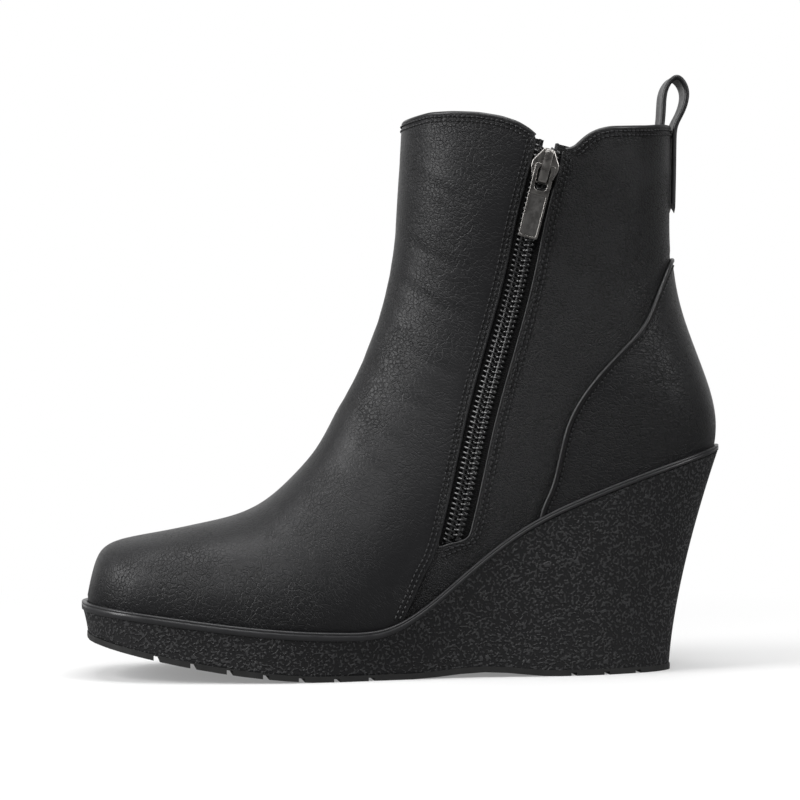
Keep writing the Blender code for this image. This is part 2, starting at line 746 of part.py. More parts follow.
def build_zip(upper, side, metal, coil, fabric):
    curve, length = zip_curve()
    bottom = length
    slot = []
    travels = [length * i / (ZIP_STEPS - 1) for i in range(ZIP_STEPS)]
    frames = [zip_frame(side, curve, travel) for travel in travels[:]]
    top_frame = frames[0]
    for step, frame in enumerate(frames):
        extra = -14 * MM if step == 0 else 0
        corners = ((-SLOT_HALF, -6 * MM), (SLOT_HALF, -6 * MM), (SLOT_HALF, 6 * MM), (-SLOT_HALF, 6 * MM))
        slot.append([placed(frame, w, depth, extra) for w, depth in corners])
    combine(upper, swept("slot_cutter", slot), "DIFFERENCE")

    slider_at = travel_at_height(curve, shaft_height(SLIDER_TOP) - 7 * MM, length)
    slider = zip_frame(side, curve, slider_at)
    start = slider_at - SLIDER_LENGTH / 2
    end = slider_at + SLIDER_LENGTH / 2

    section = ((-1, 1.0), (-1, 0.45), (-0.75, 0.12), (-0.3, 0), (0.3, 0), (0.75, 0.12), (1, 0.45), (1, 1.0))
    chain = []
    first = start + 4 * MM
    for i in range(ZIP_STEPS):
        frame = zip_frame(side, curve, first + (bottom - MM - first) * i / (ZIP_STEPS - 1))
        chain.append([placed(frame, w * CHAIN_HALF, 0.35 * MM + d * 1.65 * MM) for w, d in section])
    swept("zip_chain", chain, coil)

    tape_top = travel_at_height(curve, shaft_height(TAPE_TOP), length)
    travels = [tape_top, start, slider_at - SLIDER_LENGTH / 4, slider_at, end]
    travels += [end + (bottom + TAPE_END - end) * (i + 1) / ZIP_STEPS for i in range(ZIP_STEPS)]
    for name, sign in (("zip_tape_front", -1), ("zip_tape_rear", 1)):
        rings = []
        for travel in travels:
            frame = zip_frame(side, curve, min(travel, bottom))
            beyond = max(0.0, travel - bottom)
            split = GAP + (TAPE_SPLIT - GAP) * smooth((end - travel) / SLIDER_LENGTH)
            ring = []
            for depth in (WALL + GAP, WALL + GAP + TAPE_THICKNESS):
                line = []
                for share in (0, 0.4, 0.7, 1):
                    w = split + (TAPE_HALF - split) * share
                    flat = frame.centre + frame.across * w * sign + frame.down * beyond
                    line.append(side.point(flat.x, flat.z, depth))
                ring += line if depth == WALL + GAP else line[::-1]
            rings.append(ring)
        swept(name, rings, fabric)

    half = SLIDER_LENGTH / 2
    outline = ((-1.9, -6.75), (1.9, -6.75), (5.2, -0.8), (5.2, 1.4), (3.2, 6.75), (-3.2, 6.75), (-5.2, 1.4), (-5.2, -0.8))
    outline = [(w * MM, a * MM) for w, a in outline]
    plate = boxed("zip_slider", slider, outline, (-1.8 * MM, -0.1 * MM), metal)
    for sign in (-1, 1):
        rail = [(w * sign * MM, a * MM) for w, a in ((3.65, -2.4), (5.0, -0.6), (5.0, 1.2), (3.65, 4.8))]
        combine(plate, boxed("rail", slider, rail, (-0.6 * MM, 1.9 * MM)), "UNION")
    neck = [(w * MM, a * MM) for w, a in ((-1.3, -6.2), (1.3, -6.2), (1.3, -3.6), (-1.3, -3.6))]
    combine(plate, boxed("neck", slider, neck, (-0.6 * MM, 4.2 * MM)), "UNION")
    combine(plate, boxed("lower", slider, outline, (3.8 * MM, 4.8 * MM)), "UNION")
    profile = ((-6.5, -1.2), (-6.5, -3.9), (-5.6, -4.9), (5.9, -4.9), (6.6, -4.1), (6.6, -1.2))
    profile += ((5.6, -1.2), (5.6, -3.7), (-5.2, -3.7), (-5.2, -1.2))
    rings = []
    for w in (-1.6 * MM, 1.6 * MM):
        rings.append([placed(slider, w, d * MM, a * MM) for a, d in profile])
    combine(plate, swept("bridge", rings), "UNION")

    pull_width = 3.8
    pull = [(w * MM, a * MM) for w, a in ((-pull_width, -0.5), (pull_width, -0.5), (3.65, 27.5), (-3.65, 27.5))]
    made = boxed("zip_pull", slider, pull, (-3.25 * MM, -2.25 * MM), metal)
    window = [(w * MM, a * MM) for w, a in ((-2.4, 0.5), (2.4, 0.5), (2.4, 9.5), (-2.4, 9.5))]
    combine(made, boxed("window", slider, window, (-4 * MM, -1 * MM)), "DIFFERENCE")
    pivot = placed(slider, 0, -2.75 * MM, 0)
    print("pull pivot", [round(v, 5) for v in pivot], "axis", [round(v, 4) for v in slider.across])
    print("slider down", [round(v, 4) for v in slider.down], "inward", [round(v, 4) for v in slider.inward])


def travel_at_height(curve, height, length):
    return halved(0.0, length, lambda travel: height - curve(travel)[1])


def build_counter(upper_rows, material):
    made = shell("heel_counter", [s for s in upper_rows if 0.30 < s < 0.86], GAP, GAP + MM, material)
    line = [(station(row.along), shaft_height(row.rise)) for row in COUNTER_EDGE]
    under = [station(1.1 - 0.40 * i / 30) for i in range(31)]
    base = [(x, welt_top(x) + GAP) for x in under]
    ring = [(x, z) for x, z in line if z > welt_top(x) + 3 * GAP] + base
    reach = 60 * MM
    return combine(made, prism("counter_region", [ring, ring], [-reach, reach]), "INTERSECT")


def build_loop(side, material):
    places = [[row.back * LOOP_DEPTH, row.up * LOOP_HEIGHT] for row in STRAP_LINE]
    places = np.array(places)
    travel = np.concatenate([[0], np.cumsum(np.hypot(*np.diff(places, axis=0).T))])
    curve = spline(travel, places)
    collar_back = COLLAR_FRONT_HEIGHT - 0.09 * COLLAR_DIP
    rings = []
    steps = 34
    for i in range(steps + 1):
        at = travel[-1] * i / steps
        back, up = curve(at)
        ahead = curve(at + 0.5 * MM) - curve(at - 0.5 * MM)
        along = Vector((ahead[0], ahead[1])).normalized()
        across = Vector((along.y, -along.x)) * STRAP_THICKNESS / 2
        height = min(collar_back + up, collar_back - 2 * MM)
        blend = 1 - 0.7 * smooth(up / LOOP_HEIGHT)
        ring = []
        for turn in (1, -1):
            for share in (-1, -0.5, 0, 0.5, 1)[::turn]:
                y = share * STRAP_WIDTH / 2
                sag = (side.back(0, height) - side.back(y, height)) * blend
                x = side.back(0, height) + back + across.x * turn - sag
                ring.append(Vector((x, y, collar_back + up + across.y * turn)))
        rings.append(ring)
    swept("pull_loop", rings, material)


def main():
    clear_scene()
    leather = paint("leather", (0.02, 0.02, 0.022), 0.45)
    patch = paint("counter leather", (0.022, 0.022, 0.024), 0.5)
    edge = paint("welt rubber", (0.018, 0.018, 0.019), 0.4)
    rubber = paint("wedge rubber", (0.025, 0.025, 0.026), 0.65)
    tread = paint("outsole rubber", (0.02, 0.02, 0.02), 0.7)
    board = paint("insole", (0.05, 0.05, 0.05), 0.85)
    metal = paint("zip metal", (0.35, 0.34, 0.33), 0.3, 1.0)
    pull_metal = metal
    coil = paint("zip coil", (0.02, 0.02, 0.02), 0.4)
    fabric = paint("zip tape", (0.012, 0.012, 0.012), 0.9)
    strap = paint("strap leather", (0.02, 0.02, 0.022), 0.5)

    side = Side()
    rows = last_rows()
    upper = shell("upper", rows, -WALL, 0, leather)
    combine(upper, collar_cutter(), "DIFFERENCE")
    combine(upper, seat_cutter(), "DIFFERENCE")
    build_zip(upper, side, metal, coil, fabric)
    build_counter(rows, patch)
    build_sole(edge, rubber, tread)
    build_insole(board)
    build_loop(side, strap)


main()
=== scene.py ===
"""Looks of a wedge ankle boot for the right foot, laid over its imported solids.

The toe points to -X, the inner side of the foot is -Y, and the sole stands on Z = 0.
"""

import json
import math
from collections import namedtuple

import bpy
import numpy as np
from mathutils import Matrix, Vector
from mathutils.bvhtree import BVHTree

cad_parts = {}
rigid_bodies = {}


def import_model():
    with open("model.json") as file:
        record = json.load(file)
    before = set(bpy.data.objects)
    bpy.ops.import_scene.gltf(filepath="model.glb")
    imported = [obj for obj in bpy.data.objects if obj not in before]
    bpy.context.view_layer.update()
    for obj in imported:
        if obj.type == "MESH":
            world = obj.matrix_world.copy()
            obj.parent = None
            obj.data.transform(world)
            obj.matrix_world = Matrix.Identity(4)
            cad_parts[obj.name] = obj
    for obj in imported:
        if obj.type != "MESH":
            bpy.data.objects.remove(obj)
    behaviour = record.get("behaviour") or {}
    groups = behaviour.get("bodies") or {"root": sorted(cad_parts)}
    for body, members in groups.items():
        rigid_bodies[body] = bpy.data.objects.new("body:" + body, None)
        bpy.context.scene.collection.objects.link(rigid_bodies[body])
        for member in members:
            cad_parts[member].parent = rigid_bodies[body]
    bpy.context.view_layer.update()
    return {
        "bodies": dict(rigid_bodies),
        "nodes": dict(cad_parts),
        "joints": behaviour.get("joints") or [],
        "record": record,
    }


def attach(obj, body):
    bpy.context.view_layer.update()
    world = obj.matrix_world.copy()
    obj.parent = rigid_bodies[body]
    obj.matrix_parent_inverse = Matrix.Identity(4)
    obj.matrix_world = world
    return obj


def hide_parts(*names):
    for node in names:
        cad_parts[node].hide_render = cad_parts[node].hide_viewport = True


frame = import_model()
MM = 0.001

# Driving sizes of the last and the sole
UPPER_LENGTH = 240 * MM
BALL_WIDTH = 83 * MM
INSTEP_HEIGHT = 60 * MM
SHAFT_HEIGHT = 127 * MM
HEEL_HEIGHT = 87 * MM
PLATFORM_HEIGHT = 18.3 * MM
TOE_SPRING = 15.2 * MM
ARCH_RISE = 2 * MM
HEEL_LEAN = 19 * MM
SIDE_TAPER = 6 * MM
COLLAR_DIP = 13 * MM
WALL = 2 * MM
SEAT_GAP = 0.5 * MM
WELT_HEIGHT = 2.6 * MM
WELT_REACH = 2.4 * MM
WELT_STEP = 0.35 * MM
LIP_DEPTH = 0.95 * MM
OUTSOLE_THICKNESS = 2.2 * MM

# Mesh fineness
GIRTH_STEPS = 124
ROWS = 340
TOE_CROWDING = 0.3
SOLE_STEPS = 640

SoleRow = namedtuple("SoleRow", "along spring lift")
SOLE_LINE = (
    SoleRow(-0.020, 0.69, 0.000),
    SoleRow(0.104, 0.45, 0.000),
    SoleRow(0.250, 0.16, 0.000),
    SoleRow(0.400, 0.00, 0.000),
    SoleRow(0.467, 0.00, 0.023),
    SoleRow(0.517, 0.00, 0.115),
    SoleRow(0.583, 0.00, 0.300),
    SoleRow(0.675, 0.00, 0.545),
    SoleRow(0.771, 0.00, 0.712),
    SoleRow(0.896, 0.00, 0.875),
    SoleRow(1.020, 0.00, 1.010),
)

Section = namedtuple(
    "Section", "low_along low_rise top_along top_rise inner outer centre widest top_full low_full"
)
FOOT_SECTIONS = (
    Section(0.000, 0.070, 0.000, 0.070, 0.000, 0.000, -0.050, 0.50, 0.00, 0.00),
    Section(0.008, -0.100, 0.0075, 0.215, 0.136, 0.142, -0.050, 0.53, 0.05, 0.00),
    Section(0.022, -0.190, 0.0185, 0.342, 0.214, 0.224, -0.048, 0.54, 0.12, 0.00),
    Section(0.048, -0.260, 0.0380, 0.420, 0.289, 0.304, -0.045, 0.52, 0.18, 0.00),
    Section(0.085, -0.310, 0.0720, 0.477, 0.355, 0.375, -0.040, 0.51, 0.20, 0.00),
    Section(0.140, -0.345, 0.1230, 0.542, 0.405, 0.432, -0.032, 0.49, 0.20, 0.00),
    Section(0.205, -0.365, 0.1780, 0.620, 0.435, 0.470, -0.025, 0.47, 0.17, 0.00),
    Section(0.270, -0.375, 0.2350, 0.705, 0.455, 0.495, -0.020, 0.455, 0.13, 0.00),
    Section(0.345, -0.370, 0.2830, 0.825, 0.460, 0.505, -0.018, 0.44, 0.08, 0.00),
    Section(0.425, -0.380, 0.3240, 0.980, 0.440, 0.495, -0.018, 0.42, 0.03, 0.00),
    Section(0.510, -0.440, 0.3610, 1.040, 0.405, 0.462, -0.018, 0.41, 0.00, 0.00),
    Section(0.610, -0.560, 0.3930, 0.950, 0.375, 0.425, -0.014, 0.41, 0.00, 0.02),
    Section(0.720, -0.600, 0.4200, 0.850, 0.362, 0.398, -0.010, 0.42, 0.02, 0.04),
    Section(0.835, -0.575, 0.4430, 0.865, 0.360, 0.385, -0.006, 0.44, 0.05, 0.07),
    Section(0.935, -0.410, 0.4610, 0.920, 0.365, 0.385, -0.002, 0.46, 0.07, 0.10),
    Section(0.992, -0.110, 0.4725, 1.010, 0.372, 0.388, 0.000, 0.48, 0.08, 0.11),
)
SHAFT_SECTIONS = (
    Section(1.0055, 0.095, 0.4800, 0.540, 0.378, 0.390, 0.000, 0.49, 0.09, 0.11),
    Section(0.9840, 0.250, 0.4860, 0.608, 0.382, 0.390, 0.000, 0.50, 0.10, 0.10),
    Section(0.9480, 0.440, 0.4900, 0.694, 0.388, 0.394, 0.000, 0.50, 0.10, 0.09),
    Section(0.9335, 0.622, 0.4930, 0.789, 0.398, 0.402, 0.000, 0.50, 0.10, 0.09),
    Section(0.9335, 0.815, 0.4965, 0.892, 0.408, 0.410, 0.000, 0.50, 0.10, 0.09),
    Section(0.9350, 1.030, 0.5000, 1.030, 0.415, 0.415, 0.000, 0.50, 0.10, 0.09),
)

CollarRow = namedtuple("CollarRow", "along drop")
COLLAR_INNER = (
    CollarRow(0.40, 0.00),
    CollarRow(0.500, 0.00),
    CollarRow(0.533, -0.10),
    CollarRow(0.567, -0.09),
    CollarRow(0.607, -0.03),
    CollarRow(0.642, 0.09),
    CollarRow(0.668, 0.25),
    CollarRow(0.687, 0.46),
    CollarRow(0.700, 0.68),
    CollarRow(0.745, 1.02),
    CollarRow(0.757, 0.95),
    CollarRow(0.768, 0.75),
    CollarRow(0.782, 0.55),
    CollarRow(0.798, 0.42),
    CollarRow(0.817, 0.34),
    CollarRow(0.842, 0.31),
    CollarRow(0.880, 0.25),
    CollarRow(0.935, 0.09),
    CollarRow(1.10, 0.09),
)
COLLAR_OUTER = (
    CollarRow(0.40, 0.00),
    CollarRow(0.500, 0.00),
    CollarRow(0.560, 0.04),
    CollarRow(0.615, 0.22),
    CollarRow(0.665, 0.47),
    CollarRow(0.710, 0.60),
    CollarRow(0.755, 0.59),
    CollarRow(0.805, 0.45),
    CollarRow(0.860, 0.27),
    CollarRow(0.935, 0.09),
    CollarRow(1.10, 0.09),
)

# Lines on the upper, their heights as shares of the shaft height above the heel seat
LineRow = namedtuple("LineRow", "along rise")
ZIP_LINE = (
    LineRow(0.7246, 0.960),
    LineRow(0.7108, 0.851),
    LineRow(0.7012, 0.780),
    LineRow(0.6900, 0.693),
    LineRow(0.6710, 0.518),
    LineRow(0.6500, 0.3595),
    LineRow(0.6120, 0.0944),
    LineRow(0.5940, -0.0563),
    LineRow(0.5765, -0.200),
    LineRow(0.5646, -0.288),
)
COUNTER_EDGE = (
    LineRow(0.660, -0.450),
    LineRow(0.700, -0.230),
    LineRow(0.7075, -0.162),
    LineRow(0.719, -0.114),
    LineRow(0.730, -0.043),
    LineRow(0.738, 0.025),
    LineRow(0.747, 0.085),
    LineRow(0.761, 0.140),
    LineRow(0.790, 0.218),
    LineRow(0.831, 0.302),
    LineRow(0.870, 0.383),
    LineRow(0.892, 0.465),
    LineRow(0.909, 0.530),
    LineRow(0.923, 0.572),
    LineRow(0.936, 0.592),
    LineRow(0.950, 0.600),
    LineRow(1.100, 0.600),
)
LOWER_SEAM = (
    LineRow(0.5338, -0.312),
    LineRow(0.5200, -0.357),
    LineRow(0.5062, -0.415),
    LineRow(0.4937, -0.464),
    LineRow(0.4780, -0.540),
    LineRow(0.4500, -0.700),
)
OUTER_SEAM = (
    LineRow(0.735, 1.400),
    LineRow(0.705, 1.030),
    LineRow(0.680, 0.700),
    LineRow(0.650, 0.380),
    LineRow(0.600, 0.000),
    LineRow(0.545, -0.280),
    LineRow(0.495, -0.470),
    LineRow(0.450, -0.700),
)

LoopRow = namedtuple("LoopRow", "back up")
LOOP_DEPTH = 9 * MM
LOOP_HEIGHT = 18.9 * MM
STRAP_WIDTH = 12.5 * MM
STRAP_THICKNESS = 1.8 * MM
STRAP_LINE = (
    LoopRow(0.155, -1.77),
    LoopRow(0.155, -1.06),
    LoopRow(0.155, -0.32),
    LoopRow(0.235, 0.026),
    LoopRow(0.470, 0.265),
    LoopRow(0.660, 0.556),
    LoopRow(0.590, 0.830),
    LoopRow(0.222, 1.000),
    LoopRow(-0.160, 0.840),
    LoopRow(-0.311, 0.556),
    LoopRow(-0.333, 0.238),
    LoopRow(-0.378, -0.053),
    LoopRow(-0.383, -0.317),
    LoopRow(-0.383, -0.740),
)

TaperRow = namedtuple("TaperRow", "along inner outer")
TAPER = (
    TaperRow(-0.02, 0.35, 0.35),
    TaperRow(0.30, 0.35, 0.40),
    TaperRow(0.55, 0.80, 0.60),
    TaperRow(0.80, 1.00, 1.00),
    TaperRow(1.02, 1.00, 1.00),
)
SPRING_START = 0.37
SPRING_POWER = 1.6
BALL_BACK = 0.50
HEEL_FRONT = 0.74
FLARE_POWER = 1.5
LEAN_START = 0.62

# The zip
SLOT_HALF = 5.7 * MM
SLOT_CORNER = 1.0 * MM
SLOT_END = 2.3 * MM
SLOT_SLANT = 0.74
TAPE_SPLIT = 2.4 * MM
TAPE_TOP = 0.915
SLIDER_LENGTH = 13.5 * MM
SLIDER_TOP = 0.897
SLIDER_SEAT = 7 * MM
COIL_PITCH = 1.95 * MM
COIL_HALF = 1.72 * MM
COIL_DEPTH = 0.7 * MM
COIL_WIRE = 0.40 * MM
COIL_SHIFT = -0.5 * MM

# Edges and seams: how far the panels stop below the collar's line, the distances of the two
# rows of stitches from an edge, their pitch, and half the thickness of thread and pinhole.
EDGE_DROP = 0.9 * MM
SEAM_ROWS = (1.35 * MM, 3.0 * MM)
SEAM_PITCH = 2.1 * MM
FINE_PITCH = 1.9 * MM
THREAD = 0.27 * MM
PINHOLE = 0.46 * MM

# Main creases of the leather: both ends as shares of the upper's length and of the collar's
# height above the floor, bow, width and depth in millimetres.
Crease = namedtuple("Crease", "along_a up_a along_b up_b bow width depth")
CREASES = (
    Crease(0.186, 0.215, 0.212, 0.100, 1.5, 1.6, 0.16),
    Crease(0.222, 0.225, 0.262, 0.105, 2.0, 1.8, 0.20),
    Crease(0.262, 0.245, 0.318, 0.110, 2.5, 2.0, 0.18),
    Crease(0.300, 0.290, 0.350, 0.180, 2.0, 2.0, 0.14),
    Crease(0.385, 0.440, 0.470, 0.360, -2.0, 2.4, 0.20),
    Crease(0.400, 0.510, 0.490, 0.410, -2.5, 2.4, 0.24),
    Crease(0.430, 0.580, 0.535, 0.470, -3.0, 2.6, 0.26),
    Crease(0.452, 0.650, 0.575, 0.535, -3.0, 2.6, 0.24),
    Crease(0.470, 0.735, 0.600, 0.635, -3.0, 2.4, 0.22),
    Crease(0.480, 0.810, 0.600, 0.720, -3.0, 2.2, 0.18),
    Crease(0.490, 0.930, 0.610, 0.840, -3.0, 2.2, 0.16),
    Crease(0.900, 0.560, 0.770, 0.520, -2.0, 2.0, 0.10),
)


def spline(knots, values):
    """A natural cubic spline through rows of values, as a function of an array of knots."""
    t = np.asarray(knots, float)
    v = np.asarray(values, float)
    h = np.diff(t)
    slope = np.diff(v, axis=0) / h[:, None]
    count = len(t)
    system = np.eye(count)
    load = np.zeros_like(v)
    for i in range(1, count - 1):
        system[i, i - 1 : i + 2] = h[i - 1], 2 * (h[i - 1] + h[i]), h[i]
        load[i] = 6 * (slope[i] - slope[i - 1])
    bend = np.linalg.solve(system, load)

    def evaluate(at):
        at = np.asarray(at, float)
        i = np.clip(np.searchsorted(t, at) - 1, 0, count - 2)
        a = ((t[i + 1] - at) / h[i])[..., None]
        b = ((at - t[i]) / h[i])[..., None]
        curve = ((a**3 - a) * bend[i] + (b**3 - b) * bend[i + 1]) * (h[i] ** 2)[..., None] / 6
        return a * v[i] + b * v[i + 1] + curve

    return evaluate


def station(along):
    return (along - 0.5) * UPPER_LENGTH


def smooth(share):
    share = np.clip(share, 0.0, 1.0)
    return share * share * (3 - 2 * share)


HEEL_LIFT = HEEL_HEIGHT - PLATFORM_HEIGHT
welt_line = spline(
    [station(row.along) for row in SOLE_LINE],
    [[PLATFORM_HEIGHT + row.spring * TOE_SPRING + row.lift * HEEL_LIFT] for row in SOLE_LINE],
)


def welt_top(x):
    return welt_line(x)[..., 0]


def seat(x):
    return welt_top(x) - WELT_HEIGHT + SEAT_GAP


HEEL_SEAT = float(seat(station(1)))
COLLAR_FRONT_HEIGHT = HEEL_SEAT + SHAFT_HEIGHT


def shaft_height(rise):
    return HEEL_SEAT + rise * SHAFT_HEIGHT


def measured(row, unit, base):
    """A row of the section tables in metres."""
    widths = [share * BALL_WIDTH for share in (row.inner, row.outer, row.centre)]
    return [
        station(row.low_along),
        base + row.low_rise * unit,
        station(row.top_along),
        base + row.top_rise * unit,
        *widths,
        row.widest,
        row.top_full,
        row.low_full,
    ]


def last_spline():
    rows = [
        measured(row, INSTEP_HEIGHT, float(seat(station(row.low_along)))) for row in FOOT_SECTIONS
    ]
    rows += [measured(row, SHAFT_HEIGHT, HEEL_SEAT) for row in SHAFT_SECTIONS]
    rows = np.array(rows)
    travel = np.hypot(*np.diff(rows[:, 0:2], axis=0).T) + np.hypot(*np.diff(rows[:, 2:4], axis=0).T)
    knots = np.concatenate([[0], np.cumsum(travel)])
    return spline(knots / knots[-1], rows)


last_section = last_spline()
LOW = -math.pi / 2
TOP = math.pi / 2


def last_points(s, phi, side):
    """Points of the upper's outer surface: s from toe to collar, phi from low to top."""
    columns = np.moveaxis(last_section(s), -1, 0)
    low_x, low_z, top_x, top_z, inner, outer, centre, widest, top_full, low_full = columns
    rise = np.sin(phi)
    share = widest + rise / 2 + (0.5 - widest) * rise**2
    full = (top_full + low_full) / 2 + (top_full - low_full) / 2 * rise
    width = np.where(np.asarray(side) > 0, outer, inner)
    x = low_x + (top_x - low_x) * share
    z = low_z + (top_z - low_z) * share
    y = centre + side * width * np.cos(phi) * (1 + full * rise**2)
    return np.stack([x, y, z], axis=-1)


Sheet = namedtuple("Sheet", "points normals faces")


def last_sheet(rows, girth):
    """The upper's outer surface as a grid of quads with their normals."""
    share = np.linspace(0, 1, rows + 1)
    s = (share * (1 - TOE_CROWDING * (1 - share)))[:, None]
    up = np.linspace(LOW, TOP, girth + 1)
    phi = np.concatenate([up, up[-2:0:-1]])[None, :]
    side = np.concatenate([-np.ones(girth + 1), np.ones(girth - 1)])[None, :]
    grid = last_points(s, phi, side)
    round_step = np.roll(grid, -1, axis=1) - np.roll(grid, 1, axis=1)
    row_step = np.gradient(grid, axis=0)
    normals = np.cross(row_step, round_step)
    normals[0] = normals[1].sum(axis=0)
    normals /= np.linalg.norm(normals, axis=2, keepdims=True)
    if normals[rows // 2, girth // 2, 1] > 0:
        normals = -normals
    columns = 2 * girth
    first = np.arange(rows)[:, None] * columns
    here = np.arange(columns)[None, :]
    after = (here + 1) % columns
    faces = np.stack(
        [first + here, first + columns + here, first + columns + after, first + after], axis=-1
    )
    return Sheet(grid.reshape(-1, 3), normals.reshape(-1, 3), faces.reshape(-1, 4).tolist())


def raised(sheet, heights):
    return Sheet(sheet.points + sheet.normals * heights[:, None], sheet.normals, sheet.faces)


def clipped(sheet, values):
    """The part of a sheet where the values of its points are above zero, and the values there."""
    above = (values > 0).tolist()
    points = sheet.points
    normals = sheet.normals
    kept = []
    cuts = {}
    pairs = []
    for face in sheet.faces:
        inside = [above[i] for i in face]
        if all(inside):
            kept.append(face)
        elif any(inside):
            ring = []
            for a, b in zip(face, face[1:] + face[:1]):
                if above[a]:
                    ring.append(a)
                if above[a] != above[b]:
                    key = (min(a, b), max(a, b))
                    if key not in cuts:
                        cuts[key] = len(points) + len(pairs)
                        pairs.append(key)
                    ring.append(cuts[key])
            if len(ring) > 2:
                kept.append(ring)
    if pairs:
        a, b = np.array(pairs).T
        t = (values[a] / (values[a] - values[b]))[:, None]
        points = np.concatenate([points, points[a] + t * (points[b] - points[a])])
        normals = np.concatenate([normals, normals[a] + t * (normals[b] - normals[a])])
    used = sorted({i for face in kept for i in face})
    place = {old: new for new, old in enumerate(used)}
    faces = [[place[i] for i in face] for face in kept]
    return Sheet(points[used], normals[used], faces)


def contours(sheet, values, mask=None):
    """Lines where the values over a sheet cross zero, as (points, normals), where mask holds."""
    above = (values > 0).tolist()
    links = {}
    for face in sheet.faces:
        cut = []
        for a, b in zip(face, face[1:] + face[:1]):
            if above[a] != above[b]:
                cut.append((min(a, b), max(a, b)))
        if len(cut) == 2:
            links.setdefault(cut[0], []).append(cut[1])
            links.setdefault(cut[1], []).append(cut[0])
    seen = set()
    lines = []
    for key in sorted(links, key=lambda key: len(links[key])):
        if key in seen:
            continue
        run = [key]
        seen.add(key)
        while True:
            ahead = [other for other in links[run[-1]] if other not in seen]
            if not ahead:
                break
            run.append(ahead[0])
            seen.add(ahead[0])
        closed = len(run) > 2 and run[0] in links[run[-1]]
        a, b = np.array(run).T
        t = (values[a] / (values[a] - values[b]))[:, None]
        points = sheet.points[a] + t * (sheet.points[b] - sheet.points[a])
        normals = sheet.normals[a] + t * (sheet.normals[b] - sheet.normals[a])
        keep = np.ones(len(run), bool) if mask is None else mask(points)
        if closed and keep.all():
            lines.append((points, normals, True))
            continue
        if closed:
            start = int(np.argmin(keep))
            points = np.roll(points, -start, axis=0)
            normals = np.roll(normals, -start, axis=0)
            keep = np.roll(keep, -start)
        edge = np.flatnonzero(np.diff(np.concatenate([[0], keep.astype(int), [0]])))
        for first, last in zip(edge[::2], edge[1::2]):
            if last - first > 4:
                lines.append((points[first:last], normals[first:last], False))
    return lines


def evened(line, step):
    """A line with its points a step apart, its kinks from the grid smoothed away."""
    points, normals, closed = line
    if closed:
        points = np.concatenate([points, points[:1]])
        normals = np.concatenate([normals, normals[:1]])
    travel = np.concatenate([[0], np.cumsum(np.linalg.norm(np.diff(points, axis=0), axis=1))])
    count = max(3, int(round(travel[-1] / step)))
    at = np.linspace(0, travel[-1], count + 1)
    both = np.concatenate([points, normals], axis=1)
    both = np.stack([np.interp(at, travel, column) for column in both.T], axis=1)
    for _ in range(3):
        inner = (both[:-2] + 2 * both[1:-1] + both[2:]) / 4
        both[1:-1] = inner
    if closed:
        both = both[:-1]
    normals = both[:, 3:] / np.linalg.norm(both[:, 3:], axis=1, keepdims=True)
    return both[:, :3], normals, closed


def trace(line, places):
    """Distance of places to a flat polyline, above zero on its left, and the travel along it."""
    start = line[:-1]
    step = line[1:] - start
    size = np.maximum((step**2).sum(axis=1), 1e-12)
    travel = np.concatenate([[0], np.cumsum(np.sqrt(size))])
    distance = np.empty(len(places))
    along = np.empty(len(places))
    for first in range(0, len(places), 4000):
        chunk = places[first : first + 4000]
        off = chunk[:, None, :] - start[None]
        t = np.clip((off * step).sum(axis=2) / size, 0, 1)
        near = off - t[..., None] * step
        gap = (near**2).sum(axis=2)
        nearest = gap.argmin(axis=1)
        rows = np.arange(len(chunk))
        side = step[nearest, 0] * off[rows, nearest, 1] - step[nearest, 1] * off[rows, nearest, 0]
        distance[first : first + 4000] = np.sqrt(gap[rows, nearest]) * np.sign(side)
        along[first : first + 4000] = travel[nearest] + t[rows, nearest] * np.sqrt(size[nearest])
    return distance, along


def flat(points):
    return points[:, [0, 2]]


def drawn(rows, height):
    """A table of (along, height) rows as a flat polyline."""
    return np.array([[station(row[0]), height(row[1])] for row in rows])


def fine(line, step=1.5 * MM):
    """A polyline with a spline through its corners."""
    travel = np.concatenate([[0], np.cumsum(np.hypot(*np.diff(line, axis=0).T))])
    return spline(travel, line)(np.arange(0, travel[-1], step))


def collar_height(drop):
    return COLLAR_FRONT_HEIGHT - drop * COLLAR_DIP


zip_places = drawn(ZIP_LINE, shaft_height)
zip_travel = np.concatenate([[0], np.cumsum(np.hypot(*np.diff(zip_places, axis=0).T))])
zip_curve = spline(zip_travel, zip_places)
ZIP_LENGTH = zip_travel[-1]


def zip_side_line(offset, above=30 * MM):
    """The zip's line moved across it, starting above the collar."""
    at = np.arange(0, ZIP_LENGTH, 2 * MM)
    places = zip_curve(at)
    ahead = np.gradient(places, axis=0)
    ahead /= np.linalg.norm(ahead, axis=1, keepdims=True)
    across = np.stack([-ahead[:, 1], ahead[:, 0]], axis=1)
    line = places + across * offset
    return np.concatenate([[line[0] - ahead[0] * above], line])


zip_line = zip_side_line(0)
zip_ahead = (zip_line[-1] - zip_line[-2]) / np.linalg.norm(zip_line[-1] - zip_line[-2])
zip_across = np.array([-zip_ahead[1], zip_ahead[0]])
slot_front = zip_side_line(-SLOT_HALF)
inner_seam = np.concatenate([slot_front[:-1], fine(drawn(LOWER_SEAM, shaft_height))])
outer_seam = fine(drawn(OUTER_SEAM, shaft_height))
counter_line = fine(drawn(COUNTER_EDGE, shaft_height))
collar_lines = [drawn(rows, collar_height) for rows in (COLLAR_INNER, COLLAR_OUTER)]


def by_side(points, inner, outer):
    """Values of two functions of flat places, the first on the inner side of the foot."""
    return np.where(points[:, 1] < 0, inner(flat(points)), outer(flat(points)))


def collar_room(points):
    """Distance below the collar's line."""
    return by_side(
        points,
        lambda places: -trace(collar_lines[0], places)[0],
        lambda places: -trace(collar_lines[1], places)[0],
    )


